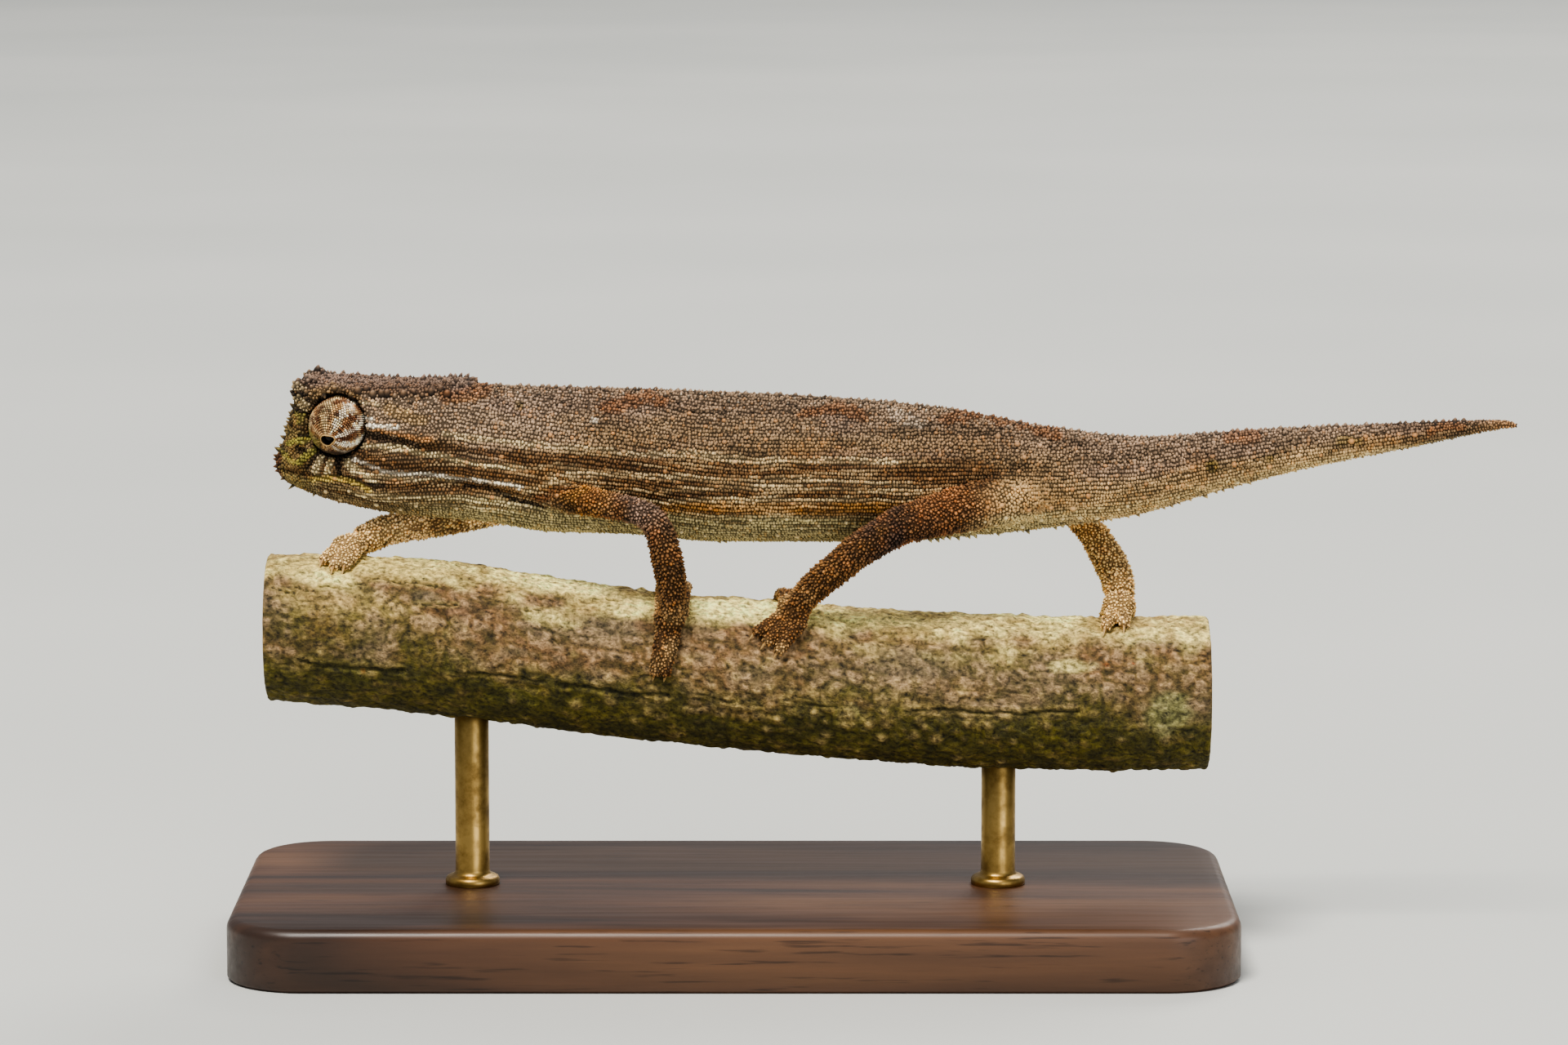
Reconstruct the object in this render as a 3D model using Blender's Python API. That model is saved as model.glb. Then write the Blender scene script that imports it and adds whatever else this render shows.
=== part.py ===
# Pygmy chameleon, life size, walking along a cut length of branch on a plain display stand.
# Sizes are in millimetres and become metres where a mesh is made. +X runs from snout to tail tip,
# +Z is up and the left flank faces -Y. The origin is the middle of the base's underside.
import math

import bmesh
import bpy
from mathutils import Matrix, Vector

MM = 0.001
GAP = 0.3  # clearance kept between pieces that touch

# Outlines of the trunk, from snout to tail tip: (distance along X, value)
TOP_LINE = ((-29.5, 31.7), (-28.7, 33.4), (-28.15, 35.3), (-27.5, 36.6), (-26.0, 36.95), (-22.0, 36.75),
            (-17.3, 36.92), (-16.3, 36.58), (-7.0, 36.33), (5.0, 35.83), (13.0, 35.13), (20.0, 33.88),
            (26.0, 33.23), (34.0, 33.71), (45.0, 34.18), (48.6, 34.34), (49.6, 34.3), (50.1, 34.1),
            (50.3, 33.95))
BELLY_LINE = ((-29.5, 30.7), (-28.8, 29.9), (-27.5, 29.3), (-25.0, 28.6), (-21.0, 28.0), (-16.0, 27.65),
              (-12.0, 27.0), (-7.0, 26.85), (-1.0, 26.35), (9.0, 26.35), (16.0, 26.8), (21.5, 27.4),
              (26.0, 28.1), (30.0, 29.3), (36.0, 30.9), (43.0, 32.35), (48.4, 33.42), (49.4, 33.58),
              (50.1, 33.64), (50.3, 33.78))
HALF_WIDTH = ((-29.5, 0.75), (-28.6, 1.45), (-27.0, 2.0), (-25.0, 2.4), (-21.0, 2.85), (-17.5, 2.8),
              (-14.0, 2.6), (-10.0, 2.7), (-3.0, 3.05), (8.0, 3.1), (16.0, 2.6), (22.0, 2.0),
              (30.0, 1.5), (40.0, 0.95), (47.0, 0.5), (49.6, 0.36), (50.1, 0.27), (50.3, 0.14))
# Height of the widest point, as a share of the section, and how square its upper and lower halves are
WIDEST = ((-29.5, 0.5), (-24.0, 0.5), (-18.0, 0.55), (-10.0, 0.5), (0.0, 0.42), (15.0, 0.45), (50.3, 0.5))
TOP_SHAPE = ((-29.5, 2.2), (-26.5, 3.2), (-18.5, 3.0), (-15.5, 2.0), (-8.0, 1.6), (15.0, 1.55), (50.3, 2.0))
BELLY_SHAPE = ((-29.5, 2.2), (-26.0, 2.2), (0.0, 1.8), (15.0, 1.8), (28.0, 1.6), (50.3, 2.0))
# Sideways shift of the mid-line: the head is turned a little to the right
HEAD_TURN = ((-29.5, 2.5), (-24.0, 1.42), (-18.0, 0.32), (-12.0, 0.0), (50.3, 0.0))
# Roll of the head to its left, as rise per unit of distance from the mid-plane
HEAD_ROLL = ((-29.5, 0.1), (-18.0, 0.06), (-12.0, 0.0), (50.3, 0.0))

SNOUT, TAIL_TIP = -29.5, 50.3
# Where the trunk is parted: behind the casque, before the shoulders, behind the hips, along the tail
PARTINGS = {"head": (SNOUT, -16.2), "neck": (-16.2, -12.6), "torso": (-12.6, 20.8),
            "tail_base": (20.8, 35.0), "tail_tip": (35.0, TAIL_TIP)}

EYE_X, EYE_Z = -25.0, 34.1
TURRET_RADIUS = 1.83
TURRET_BACK, TURRET_FRONT = 1.2, 3.75  # from the head's mid-plane
EYEBALL_RADIUS = 0.75
EYEBALL_DEPTH = 0.2  # how far its front lies below the turret's skin
GAZE = Vector((-0.33, -1.0, -0.62))  # of the left eye, in the head's own axes

PERCH_LINE = ((-30.0, 20.8), (-24.5, 20.55), (-18.0, 20.0), (-11.0, 19.0), (-5.5, 18.3), (0.0, 17.8),
              (7.5, 17.15), (15.0, 16.7), (21.0, 16.5), (30.4, 16.5))
PERCH_RADIUS = ((-30.0, 4.65), (-17.0, 4.85), (-9.0, 4.72), (5.0, 4.82), (30.4, 4.82))
PERCH_ENDS = (-30.0, 30.4)

BASE_SIZE = (64.0, 30.0, 4.0)
BASE_CORNER = 5.0
ROD_RADIUS = 1.1
ROD_X = {"stand_rod_front": -17.0, "stand_rod_back": 17.0}
ROD_SOCKET = 2.0  # how deep each rod sits in the base

# Limbs: (X, Y, Z, radius) of points on the middle line, from inside the trunk to inside the palm.
# The elbow or knee, where the two nodes part, is the point counted by "joint".
LIMBS = {
    "left fore": {"nodes": ("upper_arm_left", "forearm_left"), "foot": "forefoot_left", "joint": 4, "points": (
        (-12.0, -1.5, 29.6, 1.0), (-9.4, -2.7, 29.35, 0.9), (-7.1, -3.6, 29.05, 0.82), (-5.6, -4.05, 28.65, 0.85),
        (-4.85, -4.3, 27.85, 0.9), (-4.5, -4.5, 26.8, 0.95), (-4.15, -4.65, 25.3, 0.97), (-3.95, -4.7, 23.8, 0.85),
        (-4.05, -4.6, 22.3, 0.75))},
    "left hind": {"nodes": ("thigh_left", "shank_left"), "foot": "hindfoot_left", "joint": 5, "points": (
        (20.9, -0.5, 29.9, 1.1), (18.4, -1.0, 29.6, 1.75), (15.5, -2.1, 29.05, 1.6), (12.6, -3.1, 28.4, 1.3),
        (10.6, -3.8, 27.95, 1.22), (9.5, -4.0, 27.35, 1.15), (7.9, -3.9, 26.35, 1.08), (6.2, -3.5, 24.9, 1.0),
        (4.9, -3.1, 23.7, 0.95), (3.9, -3.0, 22.6, 0.85))},
    "right fore": {"nodes": ("upper_arm_right", "forearm_right"), "foot": "forefoot_right", "joint": 3, "points": (
        (-12.6, 1.2, 28.75, 1.0), (-15.2, 2.5, 27.95, 0.84), (-17.7, 3.25, 27.35, 0.83), (-19.9, 3.3, 27.0, 0.88),
        (-21.5, 2.7, 26.9, 0.93), (-22.8, 1.9, 26.75, 1.0), (-24.0, 0.9, 26.3, 0.9))},
    "right hind": {"nodes": ("thigh_right", "shank_right"), "foot": "hindfoot_right", "joint": 4, "points": (
        (18.6, 0.9, 29.1, 1.5), (20.1, 2.1, 28.8, 1.2), (21.2, 3.2, 28.4, 1.05), (21.95, 3.8, 27.8, 0.95),
        (22.6, 4.0, 27.05, 0.92), (23.4, 3.8, 26.05, 0.96), (24.15, 3.2, 24.8, 1.05), (24.7, 2.4, 23.6, 1.05),
        (24.85, 1.3, 22.7, 0.9))},
}
# Feet grip the perch with two bundles of fused toes. A toe is (start X, start angle, tip X, tip angle):
# angles go round the perch in degrees from its top, and are negative on the near side. The knuckle
# (X, angle, radius) is where the inner bundle bends over the branch.
TOE_RADIUS, TOE_TIP_RADIUS = 0.48, 0.36
CLAW_LENGTH, CLAW_ROOT = 0.5, 0.15
FEET = {
    "forefoot_left": {"palm": (-4.15, -48), "size": (0.95, 0.72), "knuckle": (-3.35, -2, 0.4), "toes": (
        (-4.5, -54, -5.1, -86), (-3.85, -54, -4.4, -86),
        (-4.6, -43, -4.7, 22), (-4.0, -43, -3.9, 26), (-3.45, -43, -3.15, 20))},
    "hindfoot_left": {"palm": (3.8, -30), "size": (1.05, 0.75), "knuckle": (3.8, -4, 0.46), "toes": (
        (3.15, -34, 1.35, -50), (3.7, -37, 2.0, -57), (4.3, -38, 2.75, -63),
        (3.4, -25, 2.8, 28), (4.1, -25, 3.5, 32))},
    "forefoot_right": {"palm": (-24.8, 0), "size": (1.05, 0.62), "knuckle": (-24.7, 22, 0.5), "toes": (
        (-25.4, -5, -26.3, -23), (-24.9, -7, -25.6, -30), (-24.3, -7, -24.9, -29),
        (-25.0, 5, -25.3, 62), (-24.4, 5, -24.2, 60))},
    "hindfoot_right": {"palm": (24.7, -1), "size": (1.05, 0.75), "knuckle": (24.8, 22, 0.55), "toes": (
        (24.3, -6, 23.7, -28), (25.0, -6, 24.9, -25),
        (24.2, 4, 23.9, 55), (24.75, 4, 24.8, 59), (25.3, 4, 25.6, 55))},
}

# Raised scales. On the trunk each is (X, angle round the trunk from its top, base radius, height, lean
# back along the trunk), and the ones off the mid-line stand on both sides.
BROW = ((-27.8, 36, 0.42, 0.75, -0.45), (-27.4, 47, 0.4, 0.6, -0.25), (-27.1, 29, 0.4, 0.62, -0.2),
        (-26.65, 41, 0.38, 0.5, 0.0), (-28.15, 53, 0.36, 0.45, -0.8), (-28.15, 24, 0.36, 0.45, -0.7))
SNOUT_EDGE = ((-28.35, 66, 0.3, 0.42, -0.8), (-28.65, 46, 0.3, 0.42, -1.0), (-28.95, 56, 0.3, 0.4, -1.0),
              (-29.2, 30, 0.3, 0.36, -1.2), (-29.3, 72, 0.27, 0.3, -1.4), (-29.3, 100, 0.27, 0.3, -1.4))
CHIN = ((-28.3, 158, 0.26, 0.5, -0.3), (-27.3, 164, 0.26, 0.38, 0.0), (-26.3, 160, 0.26, 0.45, 0.2),
        (-25.3, 165, 0.25, 0.36, 0.2), (-24.2, 162, 0.25, 0.32, 0.2), (-22.6, 166, 0.25, 0.3, 0.2))
CASQUE = {"from": -26.1, "to": -17.3, "step": 1.1, "angle": 41, "radius": 0.34, "height": 0.28}
CASQUE_REAR = ((-17.4, 22, 0.34, 0.34, 0.3), (-17.9, 0, 0.34, 0.34, 0.0), (-18.9, 0, 0.3, 0.28, 0.0),
               (-17.0, 0, 0.34, 0.36, 0.4), (-20.0, 0, 0.3, 0.25, 0.0), (-21.1, 0, 0.3, 0.25, 0.0))
BACK = {"from": -15.4, "to": 47.0, "step": 1.15, "radius": 0.33, "height": 0.26, "spread": 10}
TAIL_KEEL = {"from": 23.0, "to": 46.5, "step": 1.3, "radius": 0.27, "height": 0.27}
BELLY = ((-14.0, 172, 0.26, 0.28, 0.3), (-9.5, 170, 0.26, 0.28, 0.3), (-2.0, 168, 0.27, 0.4, 0.4),
         (4.0, 171, 0.26, 0.28, 0.3), (10.0, 169, 0.26, 0.28, 0.3), (16.0, 171, 0.26, 0.28, 0.3))
SPINE_ROOT = 0.2  # how far a spine's foot is sunk in its body
BLUNT = 0.3  # a raised scale's tip, as a share of its foot
LIMB_SPINE = {"radius": 0.3, "height": 0.26, "lean": 0.5}

# Mouth, nostrils and the ridge behind the eye, as (X, Z) on the side of the head
MOUTH_LINE = ((-22.7, 29.8), (-23.3, 30.1), (-24.5, 30.5), (-26.0, 30.65), (-27.5, 30.7), (-28.6, 30.8),
              (-29.3, 31.0))
MOUTH_RADIUS, LIP_RADIUS, LIP_OFFSET = 0.13, 0.24, 0.27
NOSTRIL = (-28.75, 32.3)
NOSTRIL_RADIUS = 0.2
TEMPLE_RIDGE = ((-22.9, 34.3, 0.2), (-21.8, 34.1, 0.26), (-20.6, 33.6, 0.26), (-19.6, 33.2, 0.4),
                (-19.1, 33.1, 0.16))
LID_RIM = (0.52, 0.13)  # radius round the eye's opening, and thickness

COLOURS = {"bark skin": (0.30, 0.22, 0.14), "limb skin": (0.20, 0.12, 0.08), "eye": (0.01, 0.01, 0.01),
           "turret skin": (0.42, 0.32, 0.22), "perch bark": (0.42, 0.36, 0.26), "base": (0.10, 0.06, 0.04),
           "rod": (0.45, 0.36, 0.20)}


def along(table, x):
    """The value at x of a smooth curve through the table's points, which never overshoots them."""
    if x <= table[0][0]:
        return table[0][1]
    if x >= table[-1][0]:
        return table[-1][1]
    i = max(k for k in range(len(table) - 1) if table[k][0] <= x)

    def slope(k):
        return (table[k + 1][1] - table[k][1]) / (table[k + 1][0] - table[k][0])

    def tangent(k):
        if k == 0 or k == len(table) - 1:
            return slope(0) if k == 0 else slope(k - 1)
        before, after = slope(k - 1), slope(k)
        return 0.0 if before * after <= 0 else 2 * before * after / (before + after)

    (x0, y0), (x1, y1) = table[i], table[i + 1]
    span = x1 - x0
    t = (x - x0) / span
    bend = (t - 1) * ((t - 1) * tangent(i) + t * tangent(i + 1)) * t * span
    return y0 * (2 * t + 1) * (t - 1) ** 2 + y1 * t * t * (3 - 2 * t) + bend


def turned(x, side, z):
    """A point of the trunk from its station, its distance from the mid-plane and its height."""
    step = 0.05
    angle = math.atan((along(HEAD_TURN, x - step) - along(HEAD_TURN, x + step)) / (2 * step))
    height = z + side * along(HEAD_ROLL, x)
    return Vector((x + side * math.sin(angle), along(HEAD_TURN, x) + side * math.cos(angle), height))


def section_point(x, angle, inflate=0.0):
    """A point of the trunk's surface. The angle goes round from the top, towards the right side."""
    top, belly = along(TOP_LINE, x) + inflate, along(BELLY_LINE, x) - inflate
    middle = belly + along(WIDEST, x) * (top - belly)
    up = math.cos(angle)
    shape = along(TOP_SHAPE, x) if up > 0 else along(BELLY_SHAPE, x)
    reach = top - middle if up > 0 else middle - belly
    side = (along(HALF_WIDTH, x) + inflate) * math.copysign(abs(math.sin(angle)) ** (2 / shape), math.sin(angle))
    return turned(x, side, middle + math.copysign(reach * abs(up) ** (2 / shape), up))


def perch_point(x, angle, lift):
    """A point round the perch: its station, degrees from the top, and distance from the bark."""
    radius, turn = along(PERCH_RADIUS, x) + lift, math.radians(angle)
    return Vector((x, radius * math.sin(turn), along(PERCH_LINE, x) + radius * math.cos(turn)))


def angle_at(x, z):
    """The angle round the trunk at which its surface has the height z."""
    top, belly = along(TOP_LINE, x), along(BELLY_LINE, x)
    middle = belly + along(WIDEST, x) * (top - belly)
    above = z > middle
    shape = along(TOP_SHAPE, x) if above else along(BELLY_SHAPE, x)
    share = min(1.0, abs(z - middle) / (top - middle if above else middle - belly))
    up = share ** (shape / 2)
    return math.acos(up if above else -up)


def outward(x, angle):
    """The trunk's outward direction at a point, and its direction towards the tail."""
    back = (section_point(x + 0.08, angle) - section_point(x - 0.08, angle)).normalized()
    across = section_point(x, angle + 0.06) - section_point(x, angle - 0.06)
    return back.cross(across).normalized(), back


def new_object(name, mesh, where):
    obj = bpy.data.objects.new(name, mesh)
    where.objects.link(obj)
    return obj


def mesh_of(bm, name, where):
    """Turns a bmesh in millimetres into an object in metres."""
    bmesh.ops.recalc_face_normals(bm, faces=bm.faces)
    bmesh.ops.scale(bm, vec=(MM, MM, MM), verts=bm.verts)
    mesh = bpy.data.meshes.new(name)
    bm.to_mesh(mesh)
    bm.free()
    return new_object(name, mesh, where)


def loft(name, rings, where):
    """A closed body through rings of equal count, with flat ends."""
    bm = bmesh.new()
    rows = [[bm.verts.new(point) for point in ring] for ring in rings]
    count = len(rows[0])
    for near, far in zip(rows, rows[1:]):
        for i in range(count):
            bm.faces.new((near[i], near[(i + 1) % count], far[(i + 1) % count], far[i]))
    bm.faces.new(rows[0])
    bm.faces.new(rows[-1])
    return mesh_of(bm, name, where)


def trunk_length(name, start, end, where, step=0.9, sides=24, inflate=0.0):
    """One length of the trunk, between two stations."""
    count = max(2, round((end - start) / step))
    stations = [start + (end - start) * i / count for i in range(count + 1)]
    rings = [[section_point(x, math.tau * i / sides, inflate) for i in range(sides)] for x in stations]
    return loft(name, rings, where)


def smooth_path(points, per_span):
    """Points on a smooth curve through the given (X, Y, Z, radius) points."""
    rows = [Vector(p) for p in points]
    ends = [2 * rows[0] - rows[1], *rows, 2 * rows[-1] - rows[-2]]
    path = []
    for a, b, c, d in zip(ends, ends[1:], ends[2:], ends[3:]):
        for i in range(per_span):
            t = i / per_span
            path.append(0.5 * (2 * b + (c - a) * t + (2 * a - 5 * b + 4 * c - d) * t * t
                               + (3 * b - a - 3 * c + d) * t ** 3))
    return [*path, rows[-1]]


def tube(name, path, where, roundness=3):
    """A tapering tube along (X, Y, Z, radius) points, as a closed mesh."""
    curve = bpy.data.curves.new(name, "CURVE")
    curve.dimensions = "3D"
    curve.bevel_depth = MM
    curve.bevel_resolution = roundness
    curve.use_fill_caps = True
    spline = curve.splines.new("POLY")
    spline.points.add(len(path) - 1)
    for point, (x, y, z, radius) in zip(spline.points, path):
        point.co = (x * MM, y * MM, z * MM, 1.0)
        point.radius = radius
    guide = new_object(name + " line", curve, where)
    bpy.context.view_layer.update()
    mesh = bpy.data.meshes.new_from_object(guide.evaluated_get(bpy.context.evaluated_depsgraph_get()))
    bpy.data.objects.remove(guide)
    bm = bmesh.new()
    bm.from_mesh(mesh)
    bmesh.ops.remove_doubles(bm, verts=bm.verts, dist=1e-7)
    bmesh.ops.recalc_face_normals(bm, faces=bm.faces)
    bm.to_mesh(mesh)
    bm.free()
    return new_object(name, mesh, where)


def ball(name, centre, radii, where, segments=14, rings=9, axes=None):
    """An ellipsoid; axes is a rotation matrix for its radii."""
    bm = bmesh.new()
    bmesh.ops.create_uvsphere(bm, u_segments=segments, v_segments=rings, radius=1.0)
    turn = (axes or Matrix.Identity(3)).to_4x4()
    bmesh.ops.transform(bm, matrix=Matrix.Translation(centre) @ turn @ Matrix.Diagonal((*radii, 1.0)), verts=bm.verts)
    return mesh_of(bm, name, where)


def cone(name, root, direction, radius, height, where, blunt=0.0, sides=5):
    """A spine, raised scale or claw from the root point, with a pointed or blunt tip."""
    bm = bmesh.new()
    bmesh.ops.create_cone(bm, cap_ends=True, segments=sides, radius1=radius, radius2=blunt * radius, depth=height)
    turn = Vector(direction).to_track_quat("Z", "Y").to_matrix().to_4x4()
    middle = Vector(root) + Vector(direction).normalized() * height / 2
    bmesh.ops.transform(bm, matrix=Matrix.Translation(middle) @ turn, verts=bm.verts)
    bmesh.ops.remove_doubles(bm, verts=bm.verts, dist=1e-5)
    return mesh_of(bm, name, where)


def keep_largest(mesh):
    """Drops every loose surface but the one that reaches furthest."""
    bm = bmesh.new()
    bm.from_mesh(mesh)
    left, shells = set(bm.verts), []
    while left:
        stack, shell = [left.pop()], set()
        while stack:
            vertex = stack.pop()
            shell.add(vertex)
            near = {edge.other_vert(vertex) for edge in vertex.link_edges} & left
            left -= near
            stack.extend(near)
        shells.append(shell)
    shells.sort(key=len)
    for shell in shells[:-1]:
        bmesh.ops.delete(bm, geom=list(shell), context="VERTS")
    bm.to_mesh(mesh)
    bm.free()


def combine(target, pieces, operation):
    """Joins the pieces to the target, or cuts them out of it, and removes them."""
    group = bpy.data.collections.new("pieces")
    for piece in pieces:
        group.objects.link(piece)
    step = target.modifiers.new(operation, "BOOLEAN")
    step.operation = operation
    step.operand_type = "COLLECTION"
    step.collection = group
    step.solver = "EXACT"
    bpy.context.view_layer.update()
    done = bpy.data.meshes.new_from_object(target.evaluated_get(bpy.context.evaluated_depsgraph_get()))
    target.modifiers.clear()
    target.data = done
    for piece in pieces:
        bpy.data.objects.remove(piece)
    bpy.data.collections.remove(group)
    keep_largest(done)


def finish(obj, colour, smooth_below=40.0):
    """Gives a piece its material and its shading."""
    material = bpy.data.materials.get(colour)
    if material is None:
        material = bpy.data.materials.new(colour)
        material.use_nodes = True
        shader = material.node_tree.nodes["Principled BSDF"]
        shader.inputs["Base Color"].default_value = (*COLOURS[colour], 1.0)
        shader.inputs["Roughness"].default_value = {"eye": 0.1, "rod": 0.35, "base": 0.45}.get(colour, 0.8)
        shader.inputs["Metallic"].default_value = 1.0 if colour == "rod" else 0.0
    obj.data.materials.clear()
    obj.data.materials.append(material)
    obj.data.shade_smooth()
    obj.data.set_sharp_from_angle(angle=math.radians(smooth_below))


def head_axes(mirror):
    """The head's own axes as columns: forwards is -X before the turn, and mirror is -1 on the left."""
    back = (turned(EYE_X, 0.0, 0.0) - turned(EYE_X - 1.0, 0.0, 0.0)).normalized()
    out = (turned(EYE_X, mirror, 0.0) - turned(EYE_X, 0.0, 0.0)).normalized()
    return back, out, back.cross(out) * mirror


def turret(name, side, where, inflate=0.0):
    """The scaly dome that covers the eye, a turned profile whose axis points out of the head."""
    radius, height = TURRET_RADIUS + inflate, TURRET_FRONT - TURRET_BACK + 2 * inflate
    shoulder = 0.45 * height
    arc = 7
    profile = [(0.0, 0.0), (0.93 * radius, 0.0), (radius, shoulder)]
    for i in range(1, arc + 1):
        turn = math.pi / 2 * i / arc
        profile.append((radius * math.cos(turn), shoulder + (height - shoulder) * math.sin(turn)))
    back, out, up = head_axes(side)
    start = turned(EYE_X, side * (TURRET_BACK - inflate), EYE_Z)
    sides = 22
    rings = []
    for distance, depth in profile[1:-1]:
        rings.append([start + out * depth + distance * (back * math.cos(a) + up * math.sin(a))
                      for a in (math.tau * i / sides for i in range(sides))])
    return loft(name, rings, where)


def eye_opening(side):
    """The point of the turret's surface that the gaze passes, and the surface's direction there."""
    back, out, up = head_axes(side)
    height = TURRET_FRONT - TURRET_BACK
    middle = turned(EYE_X, side * TURRET_BACK, EYE_Z) + out * 0.45 * height
    wide, deep = TURRET_RADIUS, 0.55 * height
    gaze = (back * GAZE.x - out * GAZE.y + up * GAZE.z).normalized()
    x, y, z = gaze.dot(back), gaze.dot(out), gaze.dot(up)
    reach = 1 / math.sqrt((x * x + z * z) / wide ** 2 + (y / deep) ** 2)
    facing = (back * x / wide ** 2 + out * y / deep ** 2 + up * z / wide ** 2).normalized()
    return middle + gaze * reach, facing


def trunk_spines(rows, where):
    """Raised scales on the trunk from (X, angle, radius, height, lean) rows, on both sides off the mid-line."""
    spines = []
    for x, angle, radius, height, lean in rows:
        for side in ((1, -1) if angle else (1,)):
            turn = math.radians(angle) * side
            out, back = outward(x, turn)
            direction = (out + lean * back).normalized()
            root = section_point(x, turn) - out * SPINE_ROOT
            spines.append(cone("spine", root, direction, radius, height + SPINE_ROOT, where, BLUNT))
    return spines


def row_of(row, angles):
    """Evenly spaced raised scales along the trunk, with their angles taken in turn."""
    count = round((row["to"] - row["from"]) / row["step"])
    return [(row["from"] + row["step"] * k, angles[k % len(angles)], row["radius"], row["height"], 0.1)
            for k in range(count + 1)]


def on_side(x, z, side, lift=0.0):
    """A point on one side of the head, given its station and height."""
    turn = side * angle_at(x, z)
    return section_point(x, turn) + lift * outward(x, turn)[0]


def mouth_path(radius, lift, rise):
    """(X, Y, Z, radius) points along the mouth from one corner round the snout to the other."""
    thin = [0.5 * radius, *[radius] * (len(MOUTH_LINE) - 1)]
    left = [(*on_side(x, z + rise, -1, lift), r) for (x, z), r in zip(MOUTH_LINE, thin)]
    right = [(*on_side(x, z + rise, 1, lift), r) for (x, z), r in zip(MOUTH_LINE, thin)]
    front = MOUTH_LINE[-1]
    tip = [(*(turned(SNOUT - lift, side, front[1] + rise)), radius) for side in (-0.35, 0.35)]
    return [*left, *tip, *reversed(right)]


def make_head(head, where):
    """The mouth with its lips, the nostrils, and the ridge behind each eye."""
    added = [tube("lip", mouth_path(LIP_RADIUS, -0.14, rise), where, 1) for rise in (LIP_OFFSET, -LIP_OFFSET)]
    for side in (-1, 1):
        ridge = [(*on_side(x, z, side, -0.05), radius) for x, z, radius in TEMPLE_RIDGE]
        added.append(tube("ridge", ridge, where, 1))
    combine(head, added, "UNION")
    cut = [tube("mouth", mouth_path(MOUTH_RADIUS, 0.04, 0.0), where, 1)]
    cut += [ball("nostril", on_side(*NOSTRIL, side), (NOSTRIL_RADIUS,) * 3, where, 8, 6) for side in (-1, 1)]
    combine(head, cut, "DIFFERENCE")


def make_trunk(where):
    parts = {}
    for name, (start, end) in PARTINGS.items():
        first = start if start == SNOUT else start + GAP / 2
        last = end if end == TAIL_TIP else end - GAP / 2
        sides = 18 if name == "tail_tip" else 24
        parts[name] = trunk_length(name, first, last, where, step=0.8 if name == "head" else 1.9, sides=sides)
    make_head(parts["head"], where)
    rows = [*BROW, *SNOUT_EDGE, *CHIN, *CASQUE_REAR, *BELLY, *row_of(CASQUE, (CASQUE["angle"],)),
            *row_of(BACK, (BACK["spread"], 0)), *row_of(TAIL_KEEL, (180,))]
    for name, (start, end) in PARTINGS.items():
        mine = [row for row in rows if start + 0.45 < row[0] < end - 0.45]
        combine(parts[name], trunk_spines(mine, where), "UNION")
    return parts


def lid_rim(side, where):
    """A ring round the eye's opening."""
    opening, facing = eye_opening(side)
    across = facing.orthogonal().normalized()
    other = facing.cross(across)
    radius, thickness = LID_RIM
    centre = opening - 0.1 * facing
    count = 14
    bm = bmesh.new()
    rings = []
    for i in range(count):
        a = math.tau * i / count
        spoke = math.cos(a) * across + math.sin(a) * other
        around = [math.tau * j / 6 for j in range(6)]
        rings.append([bm.verts.new(centre + spoke * (radius + thickness * math.cos(b)) + facing * thickness * math.sin(b))
                      for b in around])
    for i in range(count):
        for j in range(6):
            here, after = rings[i], rings[(i + 1) % count]
            bm.faces.new((here[j], here[(j + 1) % 6], after[(j + 1) % 6], after[j]))
    return mesh_of(bm, "rim", where)


def make_eyes(head, where):
    for name, side in (("left", -1), ("right", 1)):
        combine(head, [turret("socket", side, where, GAP)], "DIFFERENCE")
        lid = turret("eyelid_" + name, side, where)
        combine(lid, [lid_rim(side, where)], "UNION")
        opening, facing = eye_opening(side)
        centre = opening - facing * (EYEBALL_DEPTH + EYEBALL_RADIUS)
        hollow = ball("hollow", centre, (EYEBALL_RADIUS + GAP,) * 3, where, 14, 8)
        combine(lid, [hollow], "DIFFERENCE")
        finish(lid, "turret skin")
        finish(ball("eye_" + name, centre, (EYEBALL_RADIUS,) * 3, where, 14, 8), "eye")


def palm(name, where, inflate=0.0):
    """The flat pad that lies on the perch under the wrist."""
    x, angle = FEET[name]["palm"]
    length, thickness = FEET[name]["size"]
    turn = Matrix.Rotation(-math.radians(angle), 3, "X")
    radii = (length + inflate, 0.95 * length + inflate, thickness + inflate)
    return ball(name, perch_point(x, angle, GAP + thickness), radii, where, 12, 8, turn)


def toe_path(toe, inflate=0.0):
    """(X, Y, Z, radius) points from a toe's root to its tip, lying on the bark."""
    start_x, start_angle, tip_x, tip_angle = toe
    spans = 4
    path = []
    for i in range(spans + 1):
        t = i / spans
        radius = TOE_RADIUS + (TOE_TIP_RADIUS - TOE_RADIUS) * t
        x, angle = start_x + (tip_x - start_x) * t, start_angle + (tip_angle - start_angle) * t
        path.append((*perch_point(x, angle, GAP + radius), radius + inflate))
    return path


def make_foot(name, where):
    """A palm on the perch with two bundles of toes and their claws, as one body."""
    foot = palm(name, where)
    x, angle, radius = FEET[name]["knuckle"]
    pieces = [ball("knuckle", perch_point(x, angle, GAP + radius), (radius,) * 3, where, 10, 7)]
    for toe in FEET[name]["toes"]:
        path = toe_path(toe)
        pieces.append(tube("toe", path, where, 1))
        tip = Vector(path[-1][:3])
        ahead = (tip - Vector(path[-2][:3])).normalized()
        root = tip - CLAW_ROOT * ahead
        pieces.append(cone("claw", root, ahead, 0.8 * TOE_TIP_RADIUS, CLAW_LENGTH + CLAW_ROOT, where))
    combine(foot, pieces, "UNION")
    finish(foot, "limb skin")


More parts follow.
